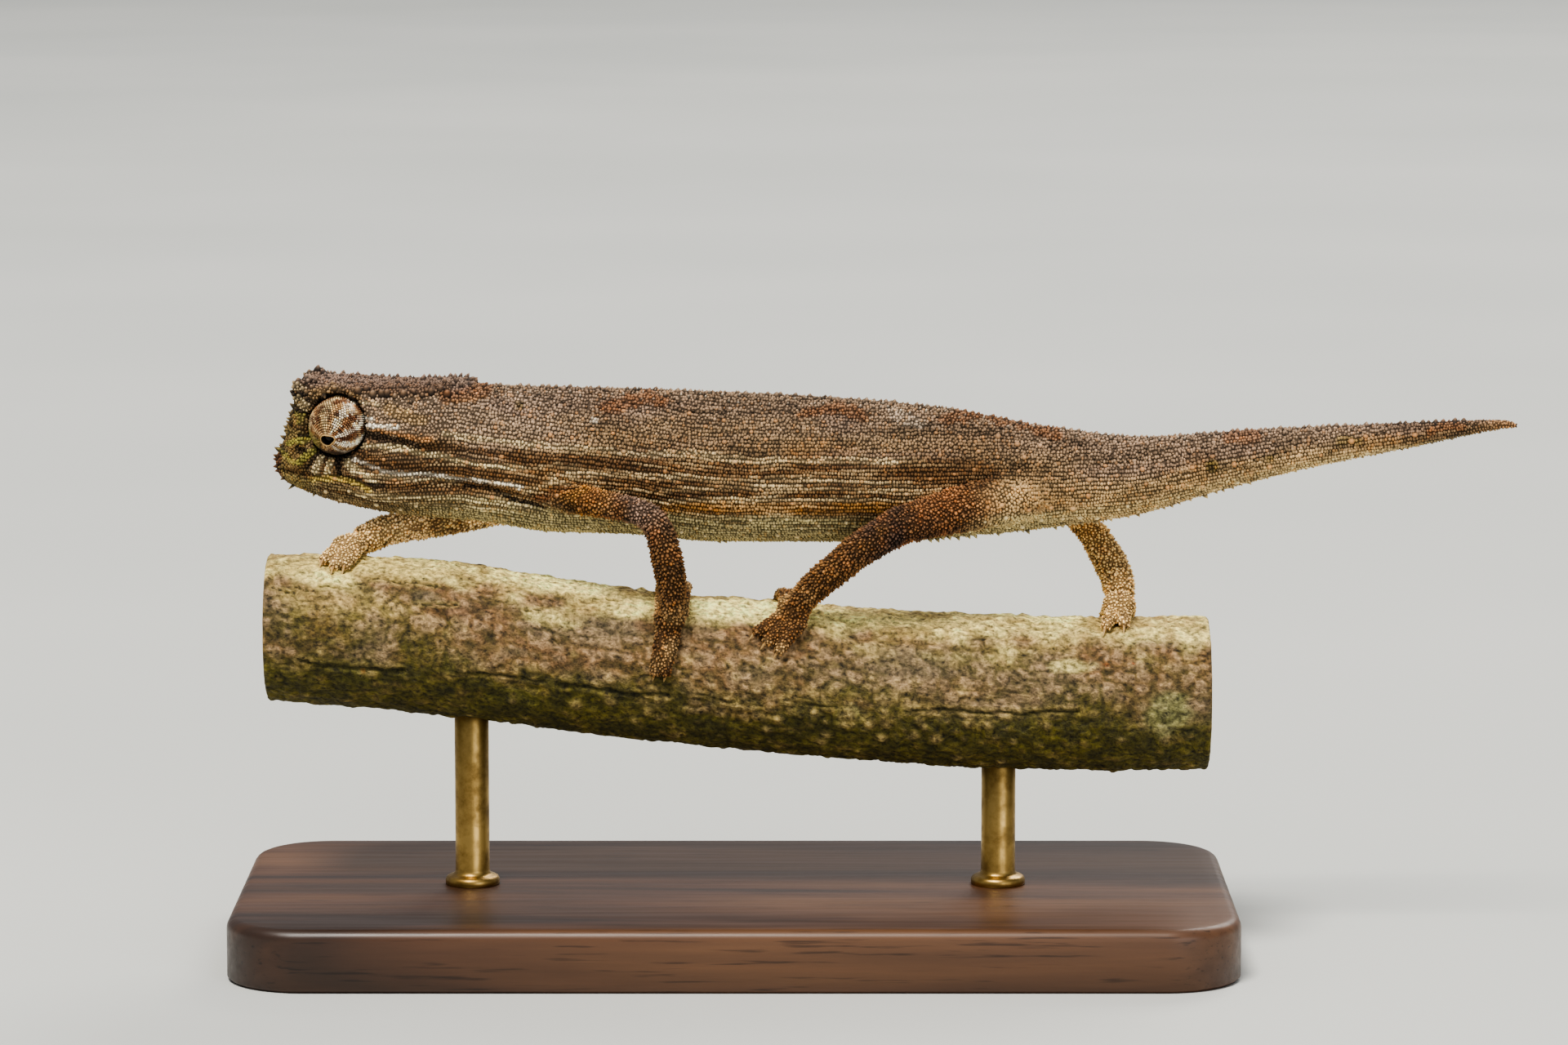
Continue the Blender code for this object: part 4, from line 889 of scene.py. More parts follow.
def trunkColours(places):
    x, side, z = stationOf(places)
    ragged = rowsOf(x / 2.2, side, z * 1.4)
    drift = mottle(ragged, 1.0, 3)
    level = np.clip(levelOf(x, z) + 0.02 * drift, 0, 1.1)
    onTail, onHead, onSnout = ease(19, 24, x), ease(-17.5, -20.5, x), ease(-26.3, -27.5, x)
    onBody = (1 - onHead) * (1 - onTail)
    wrinkle = np.abs(mottle(rowsOf(x / 3.4, side, z * 1.8), 1.0, 44))
    c = painted(
        plain("dun", x),
        ("ochre", 0.4 * ease(0.5, 0.38, level) * ease(0.2, 0.28, level) * onBody),
        ("umber", 0.45 * ease(0.75, 0.55, level) * ease(0.2, 0.3, level) * onBody),
        ("slate", (0.75 - 0.25 * onHead) * ease(0.68, 0.9, level + 0.05 * drift)),
        ("belly", ease(0.25, 0.17, level) * (1 - 0.4 * onTail) * (1 - 0.5 * ease(-19, -23, x))),
        ("umber", 0.2 * ease(9, 13, x) * ease(20, 16, x) * ease(0.45, 0.55, level) * ease(0.9, 0.75, level)),
        ("umber", 0.25 * ease(0.1, 0.8, mottle(places, 1.7, 9)) * ease(0.3, 0.5, level)),
        ("bone", 0.42 * onTail * ease(0.6, 0.25, level) * ease(46, 40, x)),
        ("slate", 0.6 * onTail * ease(0.5, 0.7, level)),
        ("umber", 0.45 * ease(40, 44, x) * ease(48.5, 47, x)),
        ("amber", 0.5 * ease(47.0, 49.5, x + 0.6 * drift)),
        ("bone", 0.36 * np.exp(-((x - 17.8) / 3.2) ** 2 - ((z - 29.3) / 1.5) ** 2)),
        ("ochre", 0.35 * ease(0.2, 0.9, mottle(places, 2.6, 21)) * ease(0.2, 0.35, level)
         * ease(0.8, 0.6, level)),
        # painted shade in fine folds of the skin low on the flank
        ("sootBlackAndShade", 0.5 * ease(0.11, 0.02, wrinkle) * ease(0.2, 0.35, level) * ease(-24, -20, x)),
        ("mauve", 0.4 * ease(0.0, 0.8, mottle(ragged, 1.5, 45)) * ease(0.45, 0.6, level)),
        ("citron", 0.6 * onSnout * ease(36.2, 35.4, z)),
        ("umber", 0.5 * onSnout * ease(-0.1, 0.5, mottle(places, 0.7, 17))),
        ("umber", 0.4 * onHead * ease(34.0, 33.4, z) * ease(-27.0, -26.0, x)),
        ("fawn", 0.5 * ease(-24, -22.5, x) * ease(-9, -14, x) * ease(33.4, 34.4, z + 0.3 * drift)
         * ease(36.4, 35.8, z)),
        ("fawn", 0.45 * ease(-18.5, -16, x) * ease(-8, -12, x) * ease(31.6, 32.6, z + 0.3 * drift)
         * ease(34.6, 33.9, z)),
        ("mauve", 0.75 * onHead * ease(36.1, 36.6, z + 0.1 * drift) * ease(-28, -25.5, x - 1.2 * (z - 36.3))))
    sway = 0.2 * mottle(rowsOf(x / 2.4, 0.3 * side, 0.7 * z), 1.0, 46) * ease(-13, -10, x)
    wobble = 0.5 * mottle(places, 0.5, 5) + 0.5 * mottle(places, 1.3, 6)
    reach = (np.abs(side) > 0.5) | (levelOf(x, z) > trunkAt("widest", x))
    for name, strength, width, edge, line in (*marksAndShade, *headMarksAndShade):
        far = nearLine(x, z + sway, line) + edge * wobble
        c = painted(c, (name, strength * ease(width * 1.35, width * 0.65, far) * reach))
    c = c * (1 + 0.18 * ease(17, 21, x) * ease(0.35, 0.6, level) * ease(44, 38, x))[:, None]
    for mirror in (-1, 1):  # painted shade in the groove round the turret, open towards the snout
        across, over, back = roundTurret(places, mirror)
        closed = 1 - 0.75 * ease(-0.7, -0.92, back / np.maximum(across, 0.01))
        c = painted(c, ("sootBlackAndShade", 0.97 * closed * ease(0.3, 0.12, across - eyeSet["socket"]) * (over > -1.5)))
    return c


# Limbs: base, upper stretch, joint, its strength, foot; then where body turns to limb, the joint's place
# and brightness; the far limbs' pale bases and higher brightness are painted light lifting the shade they sit
# in
limbColours = {
    "foreLeft": ("umber", "ochre", "mauve", 0.75, "umber", (0.03, 0.2), 0.46, 1.62),
    "hindLeft": ("umber", "rust", "plum", 0.95, "umber", (0.2, 0.42), 0.6, 2.05),
    "foreRight": ("bone", "bone", "tan", 0.5, "tan", (0.0, 0.05), 0.5, 1.9),
    "hindRight": ("tan", "bone", "ochre", 0.5, "tan", (0.0, 0.05), 0.5, 2.3),
}


def limbTones(places, region, at, facing):
    c = plain("umber", at)
    patches, flecks = mottle(places, 1.1, 31), mottle(places, 0.8, 33)
    for number, name in enumerate(limbs, 1):
        base, upper, joint, strong, foot, _, knee, gain = limbColours[name]
        own = painted(
            c,
            (base, 0.85),
            (upper, 0.7 * ease(knee, knee - 0.22, at + 0.08 * patches) * ease(-1.3, 0.1, patches)),
            (joint, strong * np.exp(-((at - knee) / 0.13) ** 2) * ease(-1.2, 0.2, patches)),
            # dark patches, and painted shade on the downward-facing upper limb
            ("sootBlackAndShade", 0.3 * ease(0.2, 0.8, patches)
             + 0.3 * ease(-0.2, -0.8, facing[:, 2]) * ease(0.7, 0.5, at)),
            ("rust", 0.45 * ease(0.1, 0.7, flecks) * ease(0.9, 0.7, at)),
            (foot, 0.75 * ease(0.78, 0.95, at)),
            ("tan", 0.25 * ease(0.85, 1.0, at) * ease(-0.4, 0.5, patches)),
            ("tan", 0.3 * (at > 1) * ease(-0.3, 0.4, patches)))
        c = np.where((region == number)[:, None], own * gain, c)
    return c


def coatColours(places, region, at, facing):
    onTrunk = trunkColours(places)
    onLimb = limbTones(places, region, at, facing)
    starts = np.array([(0.0, 1.0), *(limbColours[name][5] for name in limbs)])[region]
    share = (region > 0) * ease(starts[:, 0], starts[:, 1], at)
    return onTrunk * (1 - share[:, None]) + onLimb * share[:, None]


def scaleShape(name, rings, tip, sides=8):  # of unit size: rings of (radius, height, lean), then its tip
    turn = ringAngles(sides)
    points = np.vstack([rowsOf(r * np.cos(turn) + lean, r * np.sin(turn), h) for r, h, lean in rings]
                       + [(tip[1], 0, tip[0])])
    last = len(points) - 1
    fan = [(last - sides + c, last - sides + (c + 1) % sides, last) for c in range(sides)]
    shape = makeMesh(name, points / metre, gridFaces(len(rings), sides) + fan)
    store(shape, "rise", np.clip(points[:, 2], 0, 1))
    store(shape, "local", points * (1, 1, 0) / max(1.0, np.abs(points[:, :2]).max()))
    return shape


shapes = {
    "granule": scaleShape("granule", ((1, -0.35, 0), (0.84, 0.5, 0.02)), (1.0, 0.1), 6),
    "tubercle": scaleShape("tubercle", ((1, -0.3, 0), (0.72, 0.28, 0), (0.34, 0.72, 0.05)), (1.0, 0.12)),
    "keeled": scaleShape("keeled", ((1, -0.3, 0), (0.74, 0.42, 0.2)), (1.0, 0.75), 6),
    "thorn": scaleShape("thorn", ((1, -0.3, 0), (0.78, 0.4, 0.05)), (1.0, 0.32), 6),
}


def plantingTree():  # sets a scale on every root, leaning and sized by the root's own values
    tree, given = newGroup("plantScales", "GeometryNodeTree", {
        "Roots": "Geometry", "Scale": "Object", "Unevenness": "Float", "Patch": "Float", "Seed": "Int",
        "Finish": "Material"}, {"Coat": "Geometry"})

    def named(name):
        return addNode(tree, "GeometryNodeInputNamedAttribute", {"Name": name},
                       data_type="FLOAT_VECTOR").outputs["Attribute"]

    scale = addNode(tree, "GeometryNodeObjectInfo", {"Object": given["Scale"]}).outputs["Geometry"]
    turn = addNode(tree, "FunctionNodeAxesToRotation", {0: named("facing"), 1: named("lie")},
                   primary_axis="Z", secondary_axis="X").outputs[0]
    low, high = (sums(tree, way, 1.0, given["Unevenness"]) for way in ("SUBTRACT", "ADD"))
    chance = addNode(tree, "FunctionNodeRandomValue", {"Min": low, "Max": high, "Seed": given["Seed"]},
                     data_type="FLOAT")
    uneven = next(o for o in chance.outputs if o.enabled)
    size = vectorSums(tree, "SCALE", {0: named("size"), "Scale": uneven})
    planted = addNode(tree, "GeometryNodeInstanceOnPoints", {
        "Points": given["Roots"], "Instance": scale, "Rotation": turn, "Scale": size})
    real = addNode(tree, "GeometryNodeRealizeInstances", {"Geometry": planted.outputs[0]})
    half = sums(tree, "MULTIPLY", given["Patch"], 0.5)
    patch = vectorSums(tree, "SCALE", {0: named("local"), "Scale": half})
    place = vectorSums(tree, "ADD", {0: named("root"), 1: patch})
    mapped = addNode(tree, "GeometryNodeStoreNamedAttribute", {
        "Geometry": real.outputs[0], "Name": "OFBake", "Value": place}, data_type="FLOAT2", domain="CORNER")
    done = addNode(tree, "GeometryNodeSetMaterial", {
        "Geometry": mapped.outputs[0], "Material": given["Finish"]})
    addNode(tree, "NodeGroupOutput", {0: done.outputs[0]})
    return tree


planting = plantingTree()


def growTree(piece, tree, values):  # runs a node tree on a piece and keeps the plain mesh
    grow = piece.modifiers.new("grow", "NODES")
    grow.node_group = tree
    for item in tree.interface.items_tree:
        if item.in_out == "INPUT" and item.name in values:
            grow[item.identifier] = values[item.name]
    bpy.context.view_layer.update()
    mesh = bpy.data.meshes.new_from_object(piece.evaluated_get(bpy.context.evaluated_depsgraph_get()))
    piece.modifiers.clear()
    for spare in ("facing", "lie", "size", "root", "local"):
        if spare in mesh.attributes:
            mesh.attributes.remove(mesh.attributes[spare])
    piece.data = mesh
    return piece


def plant(name, shape, chosen, sizes, colours, material, unwrap, seed, unevenness=0.08):
    piece = makeMesh(name, chosen["place"], [])
    for key, values in (("facing", chosen["facing"]), ("lie", chosen["lie"]), ("size", sizes * metre),
                        ("root", np.hstack([unwrap, np.zeros((len(unwrap), 1))]))):
        store(piece, key, values)
    tint(piece, colours)
    growTree(piece, planting, {"Scale": shapes[shape], "Unevenness": unevenness, "Patch": coat["patch"],
                               "Seed": seed, "Finish": material})
    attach(piece, "root")
    triangles = sum(len(p.vertices) - 2 for p in piece.data.polygons)
    print(name, len(chosen["place"]), "scales,", triangles, "triangles")
    return piece


def scaleGroup():  # shared look of scaly skin: painted shade low between the scales, painted highlight pale on their crowns
    tree, given = newGroup("scaleSurface", "ShaderNodeTree", {
        "Tint": "Color", "Rise": "Float", "Crown Highlight": "Float", "Crevice Shade": "Float", "Reach": "Float",
        "Grain Size": "Float"}, {"Color": "Color", "Roughness": "Float", "Height": "Float"})
    grain = noise(tree, placeOf(tree), given["Grain Size"], Detail=3.0)
    # lift: painted shade, darkest at each scale's foot and between scales
    lift = ranged(tree, given["Rise"], 0.02, given["Reach"], given["Crevice Shade"], 1.3,
                  interpolation_type="SMOOTHSTEP")
    # crown: painted highlight, mixing towards a paler copy of the tint on each scale's top
    crownHighlight = ranged(tree, given["Rise"], 0.6, 1.0, 0.0, given["Crown Highlight"])
    both = sums(tree, "MULTIPLY", lift, ranged(tree, grain, 0.3, 0.7, 0.86, 1.14))
    own = vectorSums(tree, "SCALE", {0: given["Tint"], "Scale": both})
    highlightTint = vectorSums(tree, "MULTIPLY_ADD", {0: given["Tint"], 1: (2.1, 2.0, 1.95), 2: (0.02, 0.017, 0.013)})
    highlightTint = vectorSums(tree, "MINIMUM", {0: highlightTint, 1: (0.92, 0.9, 0.86)})
    addNode(tree, "NodeGroupOutput", {
        0: mixNode(tree, crownHighlight, own, highlightTint), 1: ranged(tree, grain, 0.3, 0.7, 0.82, 0.6), 2: grain})
    return tree


scaleSurface = scaleGroup()


def scaleMaterial(name, creviceShade, crownHighlight, reach, grain, bump, gloss, rise=None):
    material, tree, shader = newMaterial(name)
    surface = addNode(tree, "ShaderNodeGroup", {}, node_tree=scaleSurface)
    setInputs(tree, surface, {
        "Tint": pointValue(tree, "tint", "Color"), "Rise": pointValue(tree, "rise") if rise is None else rise,
        "Crevice Shade": creviceShade, "Crown Highlight": crownHighlight, "Reach": reach, "Grain Size": grain})
    setInputs(tree, shader, {
        "Base Color": surface.outputs["Color"], "Roughness": surface.outputs["Roughness"],
        "Normal": bumped(tree, surface.outputs["Height"], bump, 0.00005), "Specular IOR Level": gloss})
    return material


# Each finish's crevice value sets its painted shade between scales, its crown value the painted highlight on
# crowns
coatFinish = scaleMaterial("scales", 0.13, 0.5, 0.72, 5200, 0.5, 0.3)
raisedFinish = scaleMaterial("raisedScales", 0.08, 0.7, 1.0, 5200, 0.5, 0.3)
limbFinish = scaleMaterial("limbScales", 0.08, 0.8, 0.9, 5200, 0.5, 0.3)
# the skin between scales: its low crevice value darkens it as painted shade
skinFinish = scaleMaterial("skinBetweenScales", 0.36, 0.0, 0.62, 4200, 0.6, 0.15, 0.02)

# Skin: the fused body, marked the same as its scales and darker than them as painted shade between the scales
placeFinder = finderOf(roots["place"])
owner = np.array([placeFinder.find(Vector(p))[1] for p in skinPoints])
skinMesh.transform(Matrix.Scale(metre, 4))
skin = bpy.data.objects.new("skin", skinMesh)
bpy.context.scene.collection.objects.link(skin)
tint(skin, coatColours(skinPoints, roots["region"][owner], roots["at"][owner], skinNormals))
skinMesh.materials.clear()
skinMesh.materials.append(skinFinish)
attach(skin, "root")
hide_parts("head", "neck", "torso", "tail_base", "tail_tip", "upper_arm_left", "forearm_left",
            "forefoot_left", "thigh_left", "shank_left", "hindfoot_left", "upper_arm_right", "forearm_right",
            "forefoot_right", "thigh_right", "shank_right", "hindfoot_right")

# Each scale's size and colour, then the coat in joined pieces by region
scaleSet = {
    "granule": (0.112, 0.134, 0.13), "limb": (0.125, 0.118, 0.19), "toe": (0.115, 0.105, 0.13), "uneven": 0.2,
    "tubercle": (0.14, 0.135, 0.21), "tubercleGap": 0.42, "headGap": 0.68, "onHead": 1.35,
    "wart": (0.155, 0.14, 0.16), "wartGap": 0.9, "headEnds": -16,
}
rng = np.random.default_rng(5)
count = len(roots["at"])
places, region, at = roots["place"], roots["region"], roots["at"]
x, side, z = stationOf(places)
level = levelOf(x, z)
onToes = (region > 0) & (roots["fine"] > 0)
onTrunk = (region == 0) | (~onToes & (at < np.array(coat["bodyUntil"])[region]))
onLimbs = ~onTrunk & ~onToes
onHead = x <= scaleSet["headEnds"]
joins = onTrunk & (region > 0)  # the limbs' first scales count as the body's
station = np.where(joins, x, at)
girth = np.where(joins, np.arctan2(side, z - 31.0) / math.tau % 1, roots["round"])


def marked(chosen):
    mask = np.zeros(count, bool)
    mask[chosen] = True
    return mask


def pickApart(candidates, gap):  # a seeded choice of places that are all further apart than the gap
    chosen, free = [], candidates.copy()
    for i in rng.permutation(np.flatnonzero(candidates)):
        if free[i]:
            chosen.append(i)
            free[[j for _, j, _ in placeFinder.find_range(Vector(places[i]), gap)]] = False
    return marked(chosen)


def clearRound(chosen, gap):  # the small scales that a larger one stands over
    under = [j for i in np.flatnonzero(chosen) for _, j, _ in placeFinder.find_range(Vector(places[i]), gap)]
    return marked(under) & ~chosen


high = onTrunk & ((level > np.where(x > 20, 0.7, 0.87)) | ((x < -16.4) & (z > 35.5) & (x > -27.5))) & (x < 48)
raised = pickApart(high & ~onHead, scaleSet["tubercleGap"]) | pickApart(high & onHead, scaleSet["headGap"])
share = 0.05 + 0.3 * ease(12, 15, x) * ease(0.7, 0.5, level) + 0.1 * (level < 0.2)
flank = onTrunk & ~high & (level > 0.05) & (x > -26) & (x < 44) & (rng.random(count) < share)
wart = pickApart(flank, scaleSet["wartGap"])
hidden = clearRound(raised & ~onHead, 0.12) | clearRound(raised & onHead, 0.19) | clearRound(wart, 0.13)

sizes = np.tile(scaleSet["granule"], (count, 1))
sizes[roots["filled"]] *= 0.92
sizes[x < -16.4] *= (0.92, 0.88, 0.8)
for mask, key in ((onLimbs, "limb"), (onToes, "toe"), (raised, "tubercle")):
    sizes[mask] = scaleSet[key]
sizes[raised & (x < scaleSet["headEnds"])] *= scaleSet["onHead"]
sizes[wart] = scaleSet["wart"]
sizes *= 1 + scaleSet["uneven"] * rng.uniform(-1, 1, (count, 3))
sizes[wart] *= rng.uniform(0.75, 1.25, (int(wart.sum()), 1)) * np.where(x[wart] > 14, 1.2, 1.0)[:, None]
sizes *= np.where(onTrunk, ease(52.5, 42, x) * 0.45 + 0.55, 1)[:, None]
rowTone = mottle(rowsOf(station / 2.6, roots["row"] * 3.7, 0.0), 1.0, 13)
striped = onTrunk * ease(0.08, 0.16, level) * ease(0.66, 0.5, level) * ease(20, 14, x) * ease(-25, -21, x)
colours = painted(
    coatColours(places, region, at, roots["facing"]),
    ("cream", 0.2 * striped * ease(0.15, 0.7, rowTone)),
    ("umber", 0.6 * striped * ease(0.0, -0.5, rowTone)),
    ("ash", 0.4 * (raised & (level > 0.93) & ~onHead) * rng.random(count)))
tone = 1 + (0.22 * rowTone + 0.16 * mottle(places, 0.7, 14)) * onTrunk
tone += np.where(onTrunk, 0.2, 0.34) * rng.standard_normal(count)
warm = rng.random(count)[:, None]
colours = colours * np.clip(tone, 0.35, 2.0)[:, None] * np.where(warm > 0.92, (1.18, 1.0, 0.8), 1.0)
colours = colours * np.where(warm < 0.07, 1.2, 1.0)
shareWart = rng.uniform(0.2, 0.85, (int(wart.sum()), 1))
wartTone = np.where((level[wart] < 0.2)[:, None], palette["cream"], palette["amber"])
colours[wart] = colours[wart] * (1.1 - shareWart) + wartTone * shareWart
bellyScale = onTrunk & (level < 0.14) & ~hidden & ~wart


def part(mask):
    return {key: roots[key][mask] for key in ("place", "facing", "lie")}


def trunkUnwrap(mask, first=-30, last=51):
    along = np.clip((station[mask] - first) / (last - first), 0, 1)
    return rowsOf(0.01 + 0.98 * along, 0.005 + 0.99 * girth[mask])


def limbUnwrap(mask):
    toe = np.floor(np.clip(at[mask] - 1e-6, 0, None)) * (roots["fine"][mask] > 0)
    along = at[mask] - toe
    band = (region[mask] - 1) / 4 + 0.01
    u = np.where(toe > 0, 0.6 + 0.07 * toe + 0.06 * roots["round"][mask], 0.01 + 0.6 * along)
    down = np.where(toe > 0, 0.22 * along, 0.23 * roots["round"][mask])
    return rowsOf(np.clip(u, 0.004, 0.996), band + down)


stretches = {
    "headCoat": (-30, -20.5), "neckCoat": (-20.5, -13), "shoulderCoat": (-13, -5), "flankCoat": (-5, 3),
    "sideCoat": (3, 11), "hipCoat": (11, 20), "rumpCoat": (20, 30), "tailCoat": (30, 51),
}
for number, (name, (first, last)) in enumerate(stretches.items()):
    mask = onTrunk & (x >= first) & (x < last) & ~bellyScale & ~raised & ~hidden
    coatPiece = plant(name, "granule", part(mask), sizes[mask], colours[mask], coatFinish,
                      trunkUnwrap(mask, first - 1, last + 1), number)
for name, shape, mask, stretched, finish, unwrap, seed, uneven in (
        ("bellyCoat", "keeled", bellyScale, (1.1, 1.0, 1.0), coatFinish, trunkUnwrap, 11, 0.15),
        ("backCoat", "tubercle", raised, 1.0, raisedFinish, trunkUnwrap, 12, 0.2),
        ("limbCoat", "thorn", onLimbs, 1.0, limbFinish, limbUnwrap, 13, 0.32),
        ("toeCoat", "thorn", onToes, 1.0, limbFinish, limbUnwrap, 14, 0.25)):
    coatPiece = plant(name, shape, part(mask), sizes[mask] * stretched, colours[mask], finish,
                      unwrap(mask), seed, uneven)

# Raised scales that draw the outline: (station, angle, radius, height, lean back)
spikes = {
    "browNear": ((-28.0, 40, 0.2, 0.3, 0.3), (-27.6, 36, 0.22, 0.3, 0.2), (-27.25, 34, 0.2, 0.26, 0.1),
        (-28.2, 52, 0.17, 0.28, 0.1), (-27.0, 42, 0.22, 0.22, 0.0), (-28.15, 63, 0.18, 0.42, 0.3),
        (-27.5, 46, 0.2, 0.22, 0.2), (-27.8, 56, 0.18, 0.16, 0.2), (-28.1, 74, 0.14, 0.14, 0.0),
        (-26.7, 36, 0.2, 0.22, 0.0), (-26.9, 52, 0.2, 0.16, 0.0), (-26.4, 45, 0.2, 0.18, 0.0)),
    "browFar": ((-27.75, 34, 0.25, 0.24, 0.1), (-27.4, 30, 0.27, 0.24, 0.0), (-27.0, 33, 0.26, 0.28, 0.0),
        (-26.6, 29, 0.24, 0.3, 0.1), (-26.15, 33, 0.25, 0.26, 0.0), (-27.95, 50, 0.2, 0.2, 0.0),
        (-26.85, 25, 0.24, 0.26, 0.0), (-26.3, 24, 0.22, 0.22, 0.0), (-25.6, 31, 0.24, 0.26, 0.0)),
    "snout": ((-28.35, 66, 0.19, 0.2, 0.2), (-28.65, 46, 0.19, 0.28, 0.1), (-28.95, 56, 0.18, 0.28, 0.0),
        (-29.2, 30, 0.19, 0.26, 0.0), (-29.3, 72, 0.16, 0.2, 0.0), (-29.3, 100, 0.16, 0.2, -0.2),
        (-28.8, 72, 0.16, 0.18, 0.2), (-29.1, 86, 0.15, 0.16, 0.0), (-28.5, 84, 0.15, 0.12, 0.0),
        (-29.2, 120, 0.15, 0.18, -0.4), (-28.8, 135, 0.15, 0.2, -0.4), (-28.55, 28, 0.18, 0.24, 0.1),
        (-29.35, 50, 0.16, 0.2, 0.0), (-29.0, 100, 0.15, 0.14, -0.2), (-29.1, 66, 0.15, 0.18, 0.0),
        (-28.2, 40, 0.17, 0.22, 0.2), (-28.4, 56, 0.16, 0.18, 0.2)),
    "chin": ((-28.3, 160, 0.13, 0.34, -0.5), (-27.0, 166, 0.12, 0.12, 0.0), (-26.2, 160, 0.1, 0.08, 0.2),
        (-25.4, 168, 0.12, 0.08, 0.2), (-24.2, 164, 0.1, 0.05, 0.2), (-22.7, 168, 0.11, 0.06, 0.2)),
    "casqueRear": ((-17.4, 22, 0.22, 0.26, 0.3), (-17.9, 0, 0.22, 0.26, 0.0), (-18.9, 0, 0.2, 0.22, 0.0),
        (-17.0, 0, 0.22, 0.28, 0.4), (-20.0, 0, 0.2, 0.2, 0.0), (-21.1, 0, 0.2, 0.2, 0.0),
        (-16.9, 12, 0.2, 0.24, 0.5), (-18.4, 13, 0.18, 0.2, 0.1), (-17.7, 12, 0.18, 0.22, 0.2),
        (-16.8, 30, 0.2, 0.2, 0.4), (-19.4, 12, 0.18, 0.16, 0.0)),
}
# Spikes on the brow's knobs: which knob, direction (forward is minus, outward, up), radius, height
knobSpikes = (
    (0, (-0.8, 0.1, 0.6), 0.22, 0.14), (0, (-0.3, 0.2, 0.93), 0.26, 0.12), (0, (-0.9, 0.4, 0.1), 0.2, 0.12),
    (0, (-0.4, 0.7, 0.6), 0.22, 0.1), (1, (-0.1, 0.1, 1.0), 0.27, 0.14), (1, (0.4, 0.4, 0.83), 0.24, 0.12),
    (1, (0.1, 0.8, 0.6), 0.22, 0.08), (2, (-0.9, 0.2, 0.4), 0.2, 0.14), (2, (-0.8, 0.6, 0.0), 0.18, 0.1),
)
# Rows of spikes: first and last station, step, angles in turn, radius, height, lean back, unevenness, seed
spikeRows = (
    (-26.1, -17.2, 0.5, (35, 40, 37), 0.24, 0.26, 0.0, 0.35, 3),  # crest over the temple
    (-25.9, -17.4, 0.9, (51, 56), 0.17, 0.12, 0.0, 0.4, 4),
    (-15.9, 47.0, 0.45, (0, 6, 2, 11), 0.18, 0.15, 0.1, 0.35, 6),  # along the back
    (22.5, 33.0, 0.55, (180, 170, 176), 0.13, 0.2, 0.3, 0.6, 8),  # under the tail
    (33.0, 46.0, 0.4, (180, 172), 0.1, 0.08, 0.3, 0.5, 12),
    (-22.0, 22.0, 0.55, (172, 164, 177, 168), 0.085, 0.1, 0.5, 0.9, 9),  # along the belly
    (10.0, 24.0, 0.42, (170, 176, 163), 0.12, 0.2, 0.3, 0.6, 14),
)
spikeHeight, crestLift = 1.35, 0.1


def spikeRow(first, last, step, angles, radius, height, lean, uneven, seed):
    chance = np.random.default_rng(seed)
    rows = []
    for k, station in enumerate(np.arange(first, last, step)):
        size = 1 + uneven * chance.uniform(-1, 1)
        shift, sway = chance.uniform(-0.12, 0.12), chance.uniform(-3, 3)
        angle = angles[k % len(angles)]
        sway = sway if angle not in (0, 180) else 0.2 * sway
        rows.append((station + shift, angle + sway, radius * size, height * size, lean))
    return rows


def bothSides(rows, sides=(1, -1)):  # spikes off the middle line are set on each side
    return [(s, a * m, r, h, lean) for s, a, r, h, lean in rows for m in (sides if a > 1.5 else (1,))]


def plantSpikes():
    rows = []
    for group, members in spikes.items():
        sides = {"browNear": (-1,), "browFar": (1,)}.get(group, (1, -1))
        rows += bothSides(np.array(members) * (1, 1, 1, spikeHeight, 1), sides)
    for row in spikeRows:
        rows += bothSides(spikeRow(*row))
    s, a, r, h, lean = np.array(rows).T
    place, outward, tail = trunkBase(s, np.radians(a))
    lie = unit(tail)
    facing = unit(outward + lean[:, None] * tail)
    for mirror in (1, -1):
        for knob, way, radius, height in knobSpikes:
            station, across, up, ball = forms["browKnobs"][knob]
            way = unit(np.array(way) * (1, mirror, 1))
            place = np.vstack([place, turned(station, mirror * across, up) + ball * way])
            facing, lie = np.vstack([facing, way]), np.vstack([lie, (1.0, 0.01, -0.3)])
            own = (radius, spikeHeight * height, station, 40 * mirror)
            r, h, s, a = (np.append(v, new) for v, new in zip((r, h, s, a), own))
    place, _, far = settleOn(place)
    keep = (far < 0.9) & ~inSocket(place, 0.05)
    place, facing, lie, r, h, s, a = (v[keep] for v in (place, facing, lie, r, h, s, a))
    gain = 1.05 + 0.14 * np.random.default_rng(8).standard_normal((len(s), 1))
    tone = coatColours(place, np.zeros(len(s), int), s, facing) * gain
    unwrap = rowsOf(0.01 + 0.98 * (s + 30) / 82, 0.005 + 0.99 * (a / 360 % 1))
    return plant("crestCoat", "tubercle", {"place": place, "facing": facing, "lie": alongSkin(lie, facing)},
                 rowsOf(1.15 * r, 1.15 * r, h + crestLift), tone, raisedFinish, unwrap, 15, 0.05)


plantSpikes()

# Eye turrets: domes whose scales run out from the eye's opening in rows
turretSet = {
    "rings": 26, "nearColumns": 56, "farColumns": 96, "skinLift": -0.07, "opening": 0.37, "corner": 0.24,
    "backEdge": -0.72, "shellColumns": 72, "pitDepth": 0.62, "rearDepth": 1.5,
}
# Bands round the near eye: angle from the tail's side towards the top, half width, colour, strength
turretBands = (
    (30, 6, "white", 0.75), (17, 5, "mahogany", 0.85), (-2, 8, "white", 0.6), (-20, 7, "umber", 0.8),
    (-38, 8, "white", 0.5), (-60, 12, "mahogany", 0.7), (44, 6, "mahogany", 0.8), (58, 5, "white", 0.6),
    (70, 6, "rust", 0.55), (84, 5, "cream", 0.5), (97, 6, "umber", 0.5), (128, 9, "cream", 0.3),
    (160, 14, "fern", 0.45), (190, 16, "fern", 0.7), (216, 12, "citron", 0.7), (245, 14, "ochre", 0.6),
)


def openingSize(phi):  # the eye's opening is round, drawn out to a point at the rear
    return turretSet["opening"] + turretSet["corner"] * np.clip(np.cos(phi - 0.4), 0, 1) ** 7


